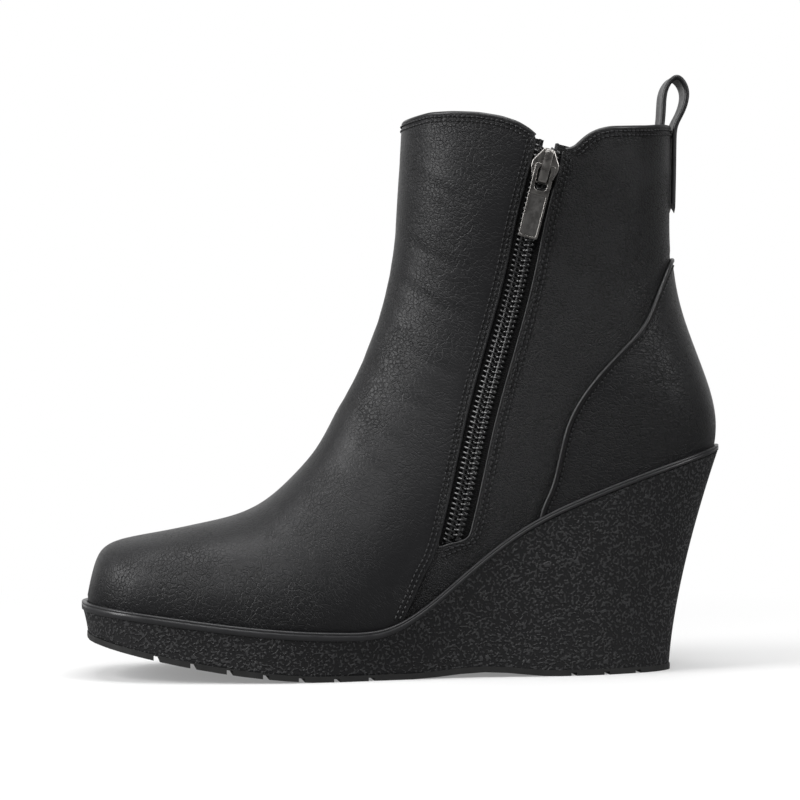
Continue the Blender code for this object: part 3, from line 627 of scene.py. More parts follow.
def slot_room(points):
    """Distance outside the zip's slot, which runs on above the collar."""
    across, along = trace(zip_line, flat(points))
    along = along - np.linalg.norm(zip_line[1] - zip_line[0])
    beyond = (flat(points) - zip_line[-1]) @ zip_ahead
    along = np.where(beyond > -2 * MM, ZIP_LENGTH + beyond, along)
    across = np.where(beyond > 0, (flat(points) - zip_line[-1]) @ zip_across, across)
    beside = np.abs(across) - (SLOT_HALF - SLOT_CORNER)
    below = (along - ZIP_LENGTH + SLOT_END + SLOT_SLANT * across) / math.hypot(1, SLOT_SLANT)
    below = below + SLOT_CORNER
    outside = np.hypot(np.maximum(beside, 0), np.maximum(below, 0))
    room = outside + np.minimum(np.maximum(beside, below), 0) - SLOT_CORNER
    return np.where(points[:, 1] < 0, room, 50 * MM)


def front_room(points):
    """Distance in front of the front panel's edge."""
    return by_side(
        points,
        lambda places: -trace(inner_seam, places)[0],
        lambda places: -trace(outer_seam, places)[0],
    )


def counter_room(points):
    """Distance inside the heel counter's edge."""
    return -trace(counter_line, flat(points))[0]


def seat_room(points):
    return points[:, 2] - seat(points[:, 0]) - 0.1 * MM


def crease_heights(points):
    """Soft troughs, each with a ridge beside it."""
    heights = np.zeros(len(points))
    places = flat(points)
    for crease in CREASES:
        a = np.array([station(crease.along_a), crease.up_a * COLLAR_FRONT_HEIGHT])
        b = np.array([station(crease.along_b), crease.up_b * COLLAR_FRONT_HEIGHT])
        step = b - a
        length = np.linalg.norm(step)
        side = np.array([-step[1], step[0]]) / length
        t = np.linspace(0, 1, 9)[:, None]
        line = a + step * t + side * crease.bow * MM * np.sin(math.pi * t)
        near = np.abs((places - (a + b) / 2)).max(axis=1) < length
        distance, along = trace(line, places[near])
        fade = np.sin(math.pi * np.clip(along / length, 0, 1)) ** 0.7
        across = distance / (crease.width * MM)
        shape = 0.55 * np.exp(-((across - 1.7) ** 2)) - np.exp(-(across**2))
        heights[near] += crease.depth * MM * shape * fade
    return heights


def new_object(name, mesh, *materials):
    made = bpy.data.objects.new(name, mesh)
    looks.objects.link(made)
    for material in materials:
        mesh.materials.append(material)
    return made


def mesh_object(name, points, faces, *materials, crisp=None):
    mesh = bpy.data.meshes.new(name)
    mesh.from_pydata([tuple(point) for point in np.asarray(points).tolist()], [], faces)
    mesh.update()
    mesh.polygons.foreach_set("use_smooth", [True] * len(mesh.polygons))
    if crisp:
        mesh.set_sharp_from_angle(angle=math.radians(crisp))
    return new_object(name, mesh, *materials)


def panel(name, sheet, depth, material):
    """A sheet with its edges turned inwards by a depth."""
    edges = {}
    for face in sheet.faces:
        for a, b in zip(face, face[1:] + face[:1]):
            if (b, a) in edges:
                del edges[(b, a)]
            else:
                edges[(a, b)] = True
    rim = sorted({i for edge in edges for i in edge})
    place = {old: len(sheet.points) + new for new, old in enumerate(rim)}
    points = np.concatenate([sheet.points, sheet.points[rim] - sheet.normals[rim] * depth])
    faces = sheet.faces + [[b, a, place[a], place[b]] for a, b in edges]
    return mesh_object(name, points, faces, material, crisp=50)


class Builder:
    """Points and faces of many small shapes that become one mesh."""

    def __init__(self):
        self.points = []
        self.faces = []

    def sweep(self, rings, closed=False):
        """Adds a tube through rings of equal count."""
        rings = np.asarray(rings)
        levels, count = rings.shape[:2]
        start = len(self.points)
        self.points.extend(rings.reshape(-1, 3).tolist())
        for level in range(levels if closed else levels - 1):
            a = start + level * count
            b = start + (level + 1) % levels * count
            for i in range(count):
                j = (i + 1) % count
                self.faces.append([a + i, a + j, b + j, b + i])
        if not closed:
            self.faces.append([start + i for i in reversed(range(count))])
            self.faces.append([start + (levels - 1) * count + i for i in range(count)])

    def object(self, name, *materials, crisp=40):
        return mesh_object(name, self.points, self.faces, *materials, crisp=crisp)


def line_frames(line):
    """Points, directions along, surface normals and directions across of a line."""
    points, normals, closed = line
    if closed:
        ahead = np.roll(points, -1, axis=0) - np.roll(points, 1, axis=0)
    else:
        ahead = np.gradient(points, axis=0)
    ahead /= np.linalg.norm(ahead, axis=1, keepdims=True)
    up = normals - ahead * (normals * ahead).sum(axis=1, keepdims=True)
    up /= np.linalg.norm(up, axis=1, keepdims=True)
    return points, ahead, up, np.cross(ahead, up)


def tube_rings(line, radius, height, count=10, squash=1.0):
    """Rings of a tube along a line, its middle at a height over the surface."""
    points, ahead, up, across = line_frames(line)
    turn = np.linspace(0, 2 * math.pi, count, endpoint=False)
    radius = np.broadcast_to(radius, len(points))[:, None, None]
    ring = np.cos(turn)[None, :, None] * across[:, None, :]
    ring = ring + np.sin(turn)[None, :, None] * up[:, None, :] * squash
    return points[:, None, :] + up[:, None, :] * height + ring * radius


def edge_tube(name, lines, radius, height, material, squash=1.0):
    made = Builder()
    for line in lines:
        line = evened(line, 0.9 * MM)
        if len(line[0]) > 3:
            made.sweep(tube_rings(line, radius, height, squash=squash), line[2])
    return made.object(name, material)


threads = Builder()
pinhole_shades = Builder()


def stitch(line, pitch, share=0.74):
    """Threads along a line with a near-black disc of painted shade for a pinhole at each end."""
    points, normals, closed = evened(line, 0.4 * MM)
    travel = np.concatenate([[0], np.cumsum(np.linalg.norm(np.diff(points, axis=0), axis=1))])
    both = np.concatenate([points, normals], axis=1)
    count = int(travel[-1] / pitch)
    for k in range(count):
        start = (k + 0.5 * (1 - share)) * pitch
        at = start + np.linspace(0, 1, 6) * share * pitch
        row = np.stack([np.interp(at, travel, column) for column in both.T], axis=1)
        lift = np.array([-0.12, 0.14, 0.24, 0.24, 0.14, -0.12])[:, None] * MM
        middle = row[:, :3] + row[:, 3:] * lift
        size = THREAD * np.array([0.55, 0.95, 1.0, 1.0, 0.95, 0.55])
        threads.sweep(tube_rings((middle, row[:, 3:], False), size, 0, count=6))
        hole_at = start + share * pitch + 0.5 * (1 - share) * pitch
        at = np.array([hole_at - 0.1 * MM, hole_at + 0.1 * MM])
        spot = np.stack([np.interp(at, travel, column) for column in both.T], axis=1)
        _, ahead, up, across = line_frames((spot[:, :3], spot[:, 3:], False))
        centre = spot[:, :3].mean(axis=0)
        turn = np.linspace(0, 2 * math.pi, 8, endpoint=False)[:, None]
        rings = []
        for size, height in ((PINHOLE, -0.2 * MM), (PINHOLE, 0.05 * MM), (PINHOLE * 0.6, 0.09 * MM)):
            ring = centre + up[0] * height
            rings.append(ring + size * (np.cos(turn) * across[0] + np.sin(turn) * ahead[0]))
        pinhole_shades.sweep(rings)


# Materials
def node(tree, kind, settings=None, **inputs):
    """A shader node; an underscore in an input's name stands for a space."""
    made = tree.nodes.new("ShaderNode" + kind)
    for key, value in (settings or {}).items():
        setattr(made, key, value)
    for key, value in inputs.items():
        socket = made.inputs[key.replace("_", " ")]
        if isinstance(value, bpy.types.NodeSocket):
            tree.links.new(value, socket)
        else:
            socket.default_value = value
    return made


def calc(tree, operation, a, b=0.0, c=0.0):
    made = tree.nodes.new("ShaderNodeMath")
    made.operation = operation
    for socket, value in zip(made.inputs, (a, b, c)):
        if isinstance(value, bpy.types.NodeSocket):
            tree.links.new(value, socket)
        else:
            socket.default_value = value
    return made.outputs[0]


def ranged(tree, value, low, high, to_low, to_high):
    made = node(tree, "MapRange", {"interpolation_type": "SMOOTHSTEP"}, Value=value)
    for key, number in zip(("From Min", "From Max", "To Min", "To Max"), (low, high, to_low, to_high)):
        made.inputs[key].default_value = number
    return made.outputs[0]


def shader_of(name, roughness, metallic=0.0, coat=0.0, coat_roughness=0.3, specular=0.5, sheen=0.0):
    made = bpy.data.materials.new(name)
    made.use_nodes = True
    tree = made.node_tree
    tree.nodes.clear()
    out = tree.nodes.new("ShaderNodeOutputMaterial")
    shader = node(tree, "BsdfPrincipled", Roughness=roughness, Metallic=metallic)
    shader.inputs["Coat Weight"].default_value = coat
    shader.inputs["Coat Roughness"].default_value = coat_roughness
    shader.inputs["Specular IOR Level"].default_value = specular
    shader.inputs["Sheen Weight"].default_value = sheen
    tree.links.new(shader.outputs[0], out.inputs["Surface"])
    return made, tree, shader


def ramp(tree, value, dark, light):
    made = tree.nodes.new("ShaderNodeValToRGB")
    made.color_ramp.elements[0].color = (*dark, 1)
    made.color_ramp.elements[1].color = (*light, 1)
    tree.links.new(value, made.inputs[0])
    return made.outputs[0]


def warped(tree, place, scale, amount):
    """Coordinates pushed about by noise."""
    noise = node(tree, "TexNoise", Vector=place, Scale=scale, Detail=2.0)
    push = node(tree, "VectorMath", {"operation": "MULTIPLY_ADD"})
    tree.links.new(noise.outputs["Color"], push.inputs[0])
    push.inputs[1].default_value = (amount, amount, amount)
    tree.links.new(place, push.inputs[2])
    return push.outputs[0]


def cells(tree, place, cell, stretch, turn, crack):
    """Height of a grain of cells, zero in the cracks between them."""
    turned = node(tree, "Mapping", Vector=place, Rotation=(0, math.radians(turn), 0))
    scaled = node(tree, "Mapping", Vector=turned.outputs[0], Scale=(1 / stretch, 1, 1))
    grain = node(
        tree, "TexVoronoi", {"feature": "DISTANCE_TO_EDGE"}, Vector=scaled.outputs[0], Scale=1 / cell
    )
    return ranged(tree, grain.outputs[0], 0.0, crack, 0.0, 1.0)


def leather(name, colour, grains, roughness, depth, lumps, calm=None, coat=0.0):
    """Grained leather.

    Each grain is (cell in mm, stretch, turn in degrees, crack, weight, zone), where the crack is a
    share of the cell and the zone says where on the boot the grain shows.
    """
    made, tree, shader = shader_of(name, roughness, coat=coat, coat_roughness=0.35, specular=0.38)
    place = node(tree, "TexCoord").outputs["Object"]
    pushed = warped(tree, place, 420.0, 1.1 * MM)
    height = None
    for cell, stretch, turn, crack, weight, zone in grains:
        layer = cells(tree, pushed, cell * MM, stretch, turn, crack)
        if zone:
            layer = calc(tree, "MULTIPLY_ADD", calc(tree, "SUBTRACT", layer, 1.0), zone(tree, place), 1.0)
        layer = calc(tree, "MULTIPLY", layer, weight)
        height = layer if height is None else calc(tree, "ADD", height, layer)
    patch = node(tree, "TexNoise", Vector=place, Scale=55.0, Detail=2.0)
    strength = ranged(tree, patch.outputs[0], 0.36, 0.62, 0.45, 1.0)
    if calm:
        strength = calc(tree, "MULTIPLY", strength, calm(tree, place))
    total = sum(grain[4] for grain in grains)
    shade = calc(tree, "MULTIPLY_ADD", calc(tree, "SUBTRACT", height, total), strength, total)
    shade = calc(tree, "DIVIDE", shade, total)
    lump = node(tree, "TexNoise", Vector=place, Scale=150.0, Detail=4.0, Roughness=0.6)
    raised_up = calc(tree, "MULTIPLY_ADD", lump.outputs[0], lumps, shade)
    bump = node(tree, "Bump", Height=raised_up, Strength=1.0, Distance=depth * MM)
    tree.links.new(bump.outputs[0], shader.inputs["Normal"])
    # The colour falls to near black in the cracks of the grain: painted shade in the cracks.
    dark = [0.08 * share for share in colour]
    tree.links.new(ramp(tree, shade, dark, colour), shader.inputs["Base Color"])
    rough = ranged(tree, shade, 0.2, 1.0, min(1.0, roughness + 0.22), roughness)
    tree.links.new(rough, shader.inputs["Roughness"])
    return made


def slanted(tree, place, across, up, low, high, to_low, to_high):
    """A value that changes smoothly along a slanted direction in X and Z."""
    parts = node(tree, "SeparateXYZ", Vector=place)
    x = calc(tree, "MULTIPLY", parts.outputs[0], across)
    both = calc(tree, "MULTIPLY_ADD", parts.outputs[2], up, x)
    return ranged(tree, both, low * MM, high * MM, to_low, to_high)


def plain(name, colour, roughness, bump_scale=0.0, bump_depth=0.0, **more):
    made, tree, shader = shader_of(name, roughness, **more)
    place = node(tree, "TexCoord").outputs["Object"]
    noise = node(tree, "TexNoise", Vector=place, Scale=bump_scale or 200.0, Detail=3.0)
    dark = [0.75 * share for share in colour]
    tree.links.new(ramp(tree, noise.outputs[0], dark, colour), shader.inputs["Base Color"])
    rough = ranged(tree, noise.outputs[0], 0.3, 0.7, max(0.05, roughness - 0.06), roughness + 0.06)
    tree.links.new(rough, shader.inputs["Roughness"])
    if bump_depth:
        bump = node(tree, "Bump", Height=noise.outputs[0], Distance=bump_depth * MM, Strength=1.0)
        tree.links.new(bump.outputs[0], shader.inputs["Normal"])
    return made


def wedge_rubber(name):
    """Rubber with raised dots and squiggles."""
    made, tree, shader = shader_of(name, 0.6, specular=0.45)
    place = node(tree, "TexCoord").outputs["Object"]
    pushed = warped(tree, place, 500.0, 0.8 * MM)
    worm = node(tree, "TexNoise", Vector=pushed, Scale=1000.0, Detail=0.4, Roughness=0.4)
    tops = ranged(tree, worm.outputs[0], 0.50, 0.64, 0.0, 1.0)
    grit = node(tree, "TexNoise", Vector=place, Scale=2600.0, Detail=2.0)
    height = calc(tree, "MULTIPLY_ADD", grit.outputs[0], 0.16, tops)
    bump = node(tree, "Bump", Height=height, Strength=1.0, Distance=0.45 * MM)
    tree.links.new(bump.outputs[0], shader.inputs["Normal"])
    # The raised tops are painted lighter and the ground between them darker: painted highlight on the
    # tops and painted shade between them.
    colour = ramp(tree, tops, (0.008, 0.008, 0.009), (0.050, 0.050, 0.052))
    tree.links.new(colour, shader.inputs["Base Color"])
    tree.links.new(ranged(tree, tops, 0.0, 1.0, 0.66, 0.36), shader.inputs["Roughness"])
    return made


def woven(name):
    made, tree, shader = shader_of(name, 0.85, sheen=0.15, specular=0.3)
    place = node(tree, "TexCoord").outputs["Object"]
    turned = node(tree, "Mapping", Vector=place, Rotation=(0, math.radians(15), 0))
    wave = node(
        tree, "TexWave", {"bands_direction": "Z"}, Vector=turned.outputs[0], Scale=1 / (3.2 * 0.6 * MM)
    )
    bump = node(tree, "Bump", Height=wave.outputs["Fac"], Strength=1.0, Distance=0.15 * MM)
    tree.links.new(bump.outputs[0], shader.inputs["Normal"])
    colour = ramp(tree, wave.outputs["Fac"], (0.006, 0.006, 0.006), (0.022, 0.022, 0.023))
    tree.links.new(colour, shader.inputs["Base Color"])
    return made


def old_metal(name, colour, roughness):
    made, tree, shader = shader_of(name, roughness, metallic=1.0)
    place = node(tree, "TexCoord").outputs["Object"]
    patch = node(tree, "TexNoise", Vector=place, Scale=330.0, Detail=4.0, Roughness=0.6)
    dark = [0.5 * share for share in colour]
    tree.links.new(ramp(tree, patch.outputs[0], dark, colour), shader.inputs["Base Color"])
    rough = ranged(tree, patch.outputs[0], 0.3, 0.7, roughness + 0.12, roughness - 0.05)
    tree.links.new(rough, shader.inputs["Roughness"])
    scratch = node(tree, "TexNoise", Vector=place, Scale=2500.0, Detail=2.0)
    bump = node(tree, "Bump", Height=scratch.outputs[0], Distance=0.01 * MM, Strength=0.6)
    tree.links.new(bump.outputs[0], shader.inputs["Normal"])
    return made


def toe_zone(tree, place):
    return slanted(tree, place, 1, 0, -40, -12, 1, 0)


def shaft_zone(tree, place):
    return slanted(tree, place, 1, 0, -40, -12, 0, 1)


def front_calm(tree, place):
    return slanted(tree, place, 1, -0.4, -54, -34, 1, 0.4)


looks = bpy.data.collections.new("wedge ankle boot")
bpy.context.scene.collection.children.link(looks)
BLACK = (0.0110, 0.0110, 0.0122)
front_leather = leather(
    "front leather",
    BLACK,
    (
        (1.45, 1.6, -74, 0.13, 1.0, toe_zone),
        (1.35, 1.9, -38, 0.14, 1.0, shaft_zone),
        (0.7, 1.3, -38, 0.20, 0.3, None),
    ),
    0.40,
    0.30,
    0.35,
    front_calm,
)
rear_leather = leather(
    "rear leather",
    BLACK,
    ((1.15, 1.2, 20, 0.16, 1.0, None), (0.68, 1.0, 0, 0.22, 0.4, None)),
    0.42,
    0.32,
    0.3,
)
counter_leather = leather(
    "counter leather",
    BLACK,
    ((1.25, 2.3, -8, 0.11, 1.0, None), (0.6, 1.4, -8, 0.20, 0.3, None)),
    0.38,
    0.20,
    0.5,
)
edge_leather = plain("edge leather", (0.012, 0.012, 0.0132), 0.40, 700.0, 0.05, coat=0.1)
strap_leather = plain("strap leather", (0.012, 0.012, 0.0132), 0.42, 900.0, 0.06, coat=0.1)
lining_cloth = plain("lining", (0.014, 0.014, 0.014), 0.85, 1500.0, 0.10, sheen=0.2)
insole_cloth = plain("insole", (0.022, 0.022, 0.022), 0.9, 1500.0, 0.10, sheen=0.2)
thread = plain("thread", (0.030, 0.030, 0.032), 0.42, 3000.0, 0.05)
# Near-black: painted shade in the stitch holes.
pinhole_shade = plain("pinhole_shade", (0.002, 0.002, 0.002), 0.9)
welt_rubber = plain("welt rubber", (0.030, 0.030, 0.032), 0.36, 260.0, 0.08)
rubber = wedge_rubber("wedge rubber")
tread_rubber = plain("outsole rubber", (0.024, 0.024, 0.024), 0.5, 300.0, 0.06)
tape_cloth = woven("zip tape")
coil_plastic = plain("zip coil", (0.020, 0.020, 0.021), 0.22, 900.0, 0.02, specular=0.8, coat=0.5)
metal = old_metal("zip metal", (0.50, 0.48, 0.46), 0.26)
metal_field = old_metal("pull field", (0.36, 0.35, 0.34), 0.34)
# Near-black: painted shade for the hollow inside the slider.
shadow_metal = plain("slider painted shade", (0.004, 0.004, 0.004), 0.7)


def ridden(made, body, slot_name, *nodes):
    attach(made, body)
    if nodes:
        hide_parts(*nodes)
    return made


# The upper: front panel, rear quarter, lining and their edges
base = last_sheet(ROWS, GIRTH_STEPS)
collar_gap = collar_room(base.points)
slot_gap = slot_room(base.points)
front_gap = front_room(base.points)
counter_gap = counter_room(base.points)
seat_gap = seat_room(base.points)
on_inner = base.points[:, 1] < 0


def bell(values, middle, width):
    return np.exp(-(((values - middle * MM) / (width * MM)) ** 2))


def build_upper():
    edge_gap = np.minimum(np.abs(front_gap), collar_gap)
    pressed = -0.16 * MM * bell(edge_gap, 2.4, 1.1)
    creased = crease_heights(base.points)
    lap = 0.55 * MM * smooth(1 - np.abs(front_gap) / (9 * MM)) * smooth(
        (shaft_height(-0.22) - base.points[:, 2]) / (14 * MM)
    )
    front = raised(base, creased + pressed + np.where(front_gap > -1 * MM, lap, 0))
    room = np.minimum.reduce([front_gap, collar_gap - EDGE_DROP, seat_gap])
    room = np.minimum(room, slot_gap)
    skin = panel("front_panel", clipped(front, room), 1.2 * MM, front_leather)
    ridden(skin, "boot", "leather", "upper")

    beside = bell(np.minimum(-counter_gap, 50 * MM), 0.2, 1.6)
    slot_press = -0.16 * MM * bell(np.minimum(slot_gap, collar_gap), 2.6, 1.2)
    rear = raised(base, slot_press - 0.35 * MM * beside)
    under = -front_gap + np.where(on_inner, 3 * MM, 1 * MM)
    sunk = -0.75 * MM * smooth(1 - (-front_gap) / (2.5 * MM)) * (slot_gap > 8 * MM)
    sunk = np.where(on_inner, sunk, -0.75 * MM * smooth(1 - (-front_gap) / (2.5 * MM)))
    rear = raised(rear, sunk)
    room = np.minimum.reduce([under, collar_gap - EDGE_DROP, seat_gap, slot_gap])
    skin = panel("rear_quarter", clipped(rear, room), 1.2 * MM, rear_leather)
    ridden(skin, "boot", "leather", "upper")

    def front_only(points):
        return (slot_room(points) > -0.2 * MM) & (seat_room(points) > 0)

    def below_collar(points):
        return (collar_room(points) > EDGE_DROP) & (seat_room(points) > 0)

    lines = contours(front, front_gap, below_collar)
    made = edge_tube("front_edge", lines, 0.55 * MM, -0.5 * MM, edge_leather)
    ridden(made, "boot", "leather")

    def behind(points):
        return below_collar(points) & (front_room(points) < 0.5 * MM)

    lines = contours(rear, slot_gap, behind)
    made = edge_tube("slot_edge", lines, 0.5 * MM, -0.45 * MM, edge_leather)
    ridden(made, "boot", "leather")

    def outside_slot(points):
        return slot_room(points) > 0.3 * MM

    lines = contours(base, collar_gap - EDGE_DROP, outside_slot)
    made = edge_tube("collar_roll", lines, 1.0 * MM, -1.0 * MM, edge_leather)
    ridden(made, "boot", "leather")

    coarse = last_sheet(ROWS // 2, GIRTH_STEPS // 2)
    inside = raised(coarse, np.full(len(coarse.points), -WALL + 0.05 * MM))
    room = np.minimum.reduce(
        [collar_room(coarse.points) - EDGE_DROP, seat_room(coarse.points), slot_room(coarse.points)]
    )
    made = panel("lining", clipped(inside, room), 0.3 * MM, lining_cloth)
    ridden(made, "boot", "leather")
    return front, rear


def stitch_upper(front, rear):
    for level in SEAM_ROWS:

        def front_side(points):
            clear = collar_room(points) > level + 0.4 * MM
            return clear & (points[:, 2] > welt_top(points[:, 0]) + 0.5 * MM)

        for line in contours(front, front_gap - level, front_side):
            stitch(line, SEAM_PITCH)

        def rear_side(points):
            clear = (collar_room(points) > level + 0.4 * MM) & (front_room(points) < -2.0 * MM)
            return clear & (points[:, 2] > welt_top(points[:, 0]) + 0.5 * MM)

        for line in contours(rear, slot_gap - level - 0.3 * MM, rear_side):
            stitch(line, SEAM_PITCH)

        def along_collar(points):
            return slot_room(points) > level

        for line in contours(base, collar_gap - EDGE_DROP - level + 0.3 * MM, along_collar):
            stitch(line, FINE_PITCH)


def build_counter():
    skin = raised(base, np.full(len(base.points), 0.75 * MM) - 0.2 * MM * bell(counter_gap, 2.2, 0.9))
    room = np.minimum.reduce([counter_gap - 0.5 * MM, seat_gap])
    near = np.minimum(room, base.points[:, 0] - station(0.6))
    made = panel("heel_counter_skin", clipped(skin, near), 0.8 * MM, counter_leather)
    ridden(made, "boot", "counter_leather", "heel_counter")

    def above_welt(points):
        return (points[:, 2] > seat(points[:, 0])) & (points[:, 0] > station(0.6))

    lines = contours(base, counter_gap - 0.75 * MM, above_welt)
    made = edge_tube("counter_cord", lines, 0.8 * MM, 0.65 * MM, edge_leather)
    ridden(made, "boot", "counter_leather")
    for line in contours(skin, counter_gap - 2.5 * MM, above_welt):
        stitch(line, FINE_PITCH)


# The sole
def foot_outline(height):
    """Evenly stepped outline of the upper at a height above the seat, from the toe round."""

    def above(s, phi, side):
        point = last_points(s, phi, side)
        return point[..., 2] - seat(point[..., 0]) - height

    ends = []
    for far in (0.0, 1.0):
        below, over = 0.4, far
        for _ in range(40):
            middle = (below + over) / 2
            if above(np.array(middle), LOW, -1.0) < 0:
                below = middle
            else:
                over = middle
        ends.append((below + over) / 2)
    share = (1 - np.cos(np.linspace(0, math.pi, 500))) / 2
    s = ends[0] + (ends[1] - ends[0]) * share
    sides = []
    for side in (-1.0, 1.0):
        low = np.full(len(s), LOW)
        high = np.full(len(s), math.radians(30))
        for _ in range(40):
            middle = (low + high) / 2
            under = above(s, middle, side) < 0
            low = np.where(under, middle, low)
            high = np.where(under, high, middle)
        sides.append(last_points(s, (low + high) / 2, side)[:, :2])
    ring = np.concatenate([sides[0], sides[1][-2:0:-1]])
    closed = np.concatenate([ring, ring[:1]])
    travel = np.concatenate([[0], np.cumsum(np.linalg.norm(np.diff(closed, axis=0), axis=1))])
    at = np.linspace(0, travel[-1], SOLE_STEPS, endpoint=False)
    even = np.stack([np.interp(at, travel, column) for column in closed.T], axis=1)
    for _ in range(4):
        even = (np.roll(even, 1, axis=0) + 2 * even + np.roll(even, -1, axis=0)) / 4
    return even


def grown(outline, distance):
    along = np.roll(outline, -1, axis=0) - np.roll(outline, 1, axis=0)
    away = np.stack([along[:, 1], -along[:, 0]], axis=1)
    away /= np.linalg.norm(away, axis=1, keepdims=True)
    return outline + away * distance


side_taper = spline([station(row.along) for row in TAPER], [row[1:] for row in TAPER])


def floor_line(x):
    along = x / UPPER_LENGTH + 0.5
    spring = np.clip((SPRING_START - along) / (SPRING_START + 0.01), 0, None) ** SPRING_POWER
    arch = np.sin(math.pi * np.clip((along - BALL_BACK) / (HEEL_FRONT - BALL_BACK), 0, 1)) ** 2
    return TOE_SPRING * spring + ARCH_RISE * arch


def sole_ring(outline, share, lift=0.0):
    """The sole's outline at a share of the way from the floor to its top."""
    x, y = outline.T
    back = station(1) + WELT_REACH
    insets = side_taper(x)
    inset = SIDE_TAPER * np.where(y > 0, insets[:, 1], insets[:, 0])
    lean = HEEL_LEAN * smooth((x - station(LEAN_START)) / (back - station(LEAN_START)))
    toe_inset = inset * smooth((station(0.1) - x) / (0.11 * UPPER_LENGTH))
    narrowed = y * (1 - inset / np.maximum(np.abs(y), 4 * inset))
    low_x = x - lean + toe_inset
    low_z = floor_line(low_x) + lift
    top_z = welt_top(x) - WELT_HEIGHT
    mix = share**FLARE_POWER
    return np.stack(
        [low_x + (x - low_x) * mix, narrowed + (y - narrowed) * mix, low_z + (top_z - low_z) * share],
        axis=1,
    )


def ring_mesh(name, rings, closed, *materials, crisp=40):
    made = Builder()
    made.sweep(rings, closed)
    return made.object(name, *materials, crisp=crisp)


def build_sole():
    outline = foot_outline(WELT_HEIGHT)
    side = grown(outline, WELT_REACH - WELT_STEP)
    shares = np.linspace(0, 1, 27)
    rings = [sole_ring(side, 0, OUTSOLE_THICKNESS)]
    rings += [sole_ring(side, share) for share in shares if share > 0.1]
    rings = [np.where(rings[0][:, 2:] > ring[:, 2:], rings[0], ring) for ring in rings]
    made = ring_mesh("wedge_skin", rings, False, rubber)
    ridden(made, "boot", "wedge_rubber", "wedge")

    profile = (
        (0.30, 0.30),
        (2.10, 0.30),
        (2.38, 0.45),
        (2.46, 1.00),
        (2.44, 1.50),
        (2.26, 1.66),
        (2.40, 1.82),
        (2.40, 2.25),
        (2.22, 2.50),
        (1.80, 2.60),
        (0.60, 2.58),
        (0.30, 2.40),
    )
    rings = []
    for reach, rise in profile:
        ring = grown(outline, reach * MM)
        forefoot = smooth((station(0.75) - ring[:, 0]) / (0.45 * UPPER_LENGTH))
        deeper = LIP_DEPTH * forefoot * (1 - smooth(np.array(rise - 0.45))) * (reach > 1)
        z = welt_top(ring[:, 0]) - WELT_HEIGHT + rise * MM - deeper
        rings.append(np.concatenate([ring, z[:, None]], axis=1))
    rings = np.array(rings)
    made = ring_mesh("welt_band", rings.transpose(1, 0, 2), True, welt_rubber, crisp=60)
    ridden(made, "boot", "welt_rubber", "welt")


# The zip
class Side:
    """The inner side of the upper as a surface over X and Z."""

    def __init__(self, sheet):
        self.tree = BVHTree.FromPolygons(sheet.points.tolist(), sheet.faces)

    def depth(self, x, z):
        return self.tree.ray_cast(Vector((x, -0.3, z)), Vector((0, 1, 0)))[0].y

    def inward(self, x, z):
        step = 3 * MM
        slope_x = (self.depth(x + step, z) - self.depth(x - step, z)) / (2 * step)
        slope_z = (self.depth(x, z + step) - self.depth(x, z - step)) / (2 * step)
        return Vector((-slope_x, 1, -slope_z)).normalized()

    def back(self, y, z):
        return self.tree.ray_cast(Vector((0.4, y, z)), Vector((-1, 0, 0)))[0].x


Frame = namedtuple("Frame", "centre across down inward")


def zip_frame(side, travel):
    x, z = zip_curve(travel)
    ahead = zip_curve(travel + MM) - zip_curve(travel - MM)
    inward = side.inward(x, z)
    centre = Vector((x, side.depth(x, z), z))
    down = Vector((ahead[0], 0, ahead[1]))
    down = (down - inward * down.dot(inward)).normalized()
    return Frame(centre, inward.cross(down) * -1, down, inward)


def placed(frame, w, depth, along=0.0):
    return frame.centre + frame.across * w + frame.inward * depth + frame.down * along


def travel_at_height(height):
    low, high = 0.0, ZIP_LENGTH
    for _ in range(40):
        middle = (low + high) / 2
        if height < zip_curve(middle)[1]:
            low = middle
        else:
            high = middle
    return (low + high) / 2


def coil_line(frames, first, last, sign, shift, phase):
    """One side's coil: a flattened helix between two travels, its middle shifted across."""
    steps = int((last - first) / COIL_PITCH * 14)
    points = []
    normals = []
    for i in range(steps + 1):
        at = first + (last - first) * i / steps
        turn = 2 * math.pi * (at - first) / COIL_PITCH + phase
        frame_here = frames(at)
        w = sign * (shift(at) + COIL_HALF * math.cos(turn))
        depth = 1.15 * MM - COIL_DEPTH * math.sin(turn)
        points.append(placed(frame_here, w + COIL_SHIFT, depth))
        normals.append(frame_here.across * sign * math.cos(turn) - frame_here.inward * math.sin(turn))
    return np.array(points), np.array(normals), False


def between_frames(side, first, last, steps):
    """A function that mixes frames worked out at a few travels."""
    at = np.linspace(first, last, steps)
    frames = [zip_frame(side, travel) for travel in at]
    parts = np.array([[*f.centre, *f.across, *f.down, *f.inward] for f in frames])
    smooth_parts = spline(at, parts)

    def frame_at(travel):
        row = smooth_parts(travel)
        return Frame(*(Vector(row[i : i + 3]) for i in (0, 3, 6, 9)))

    return frame_at


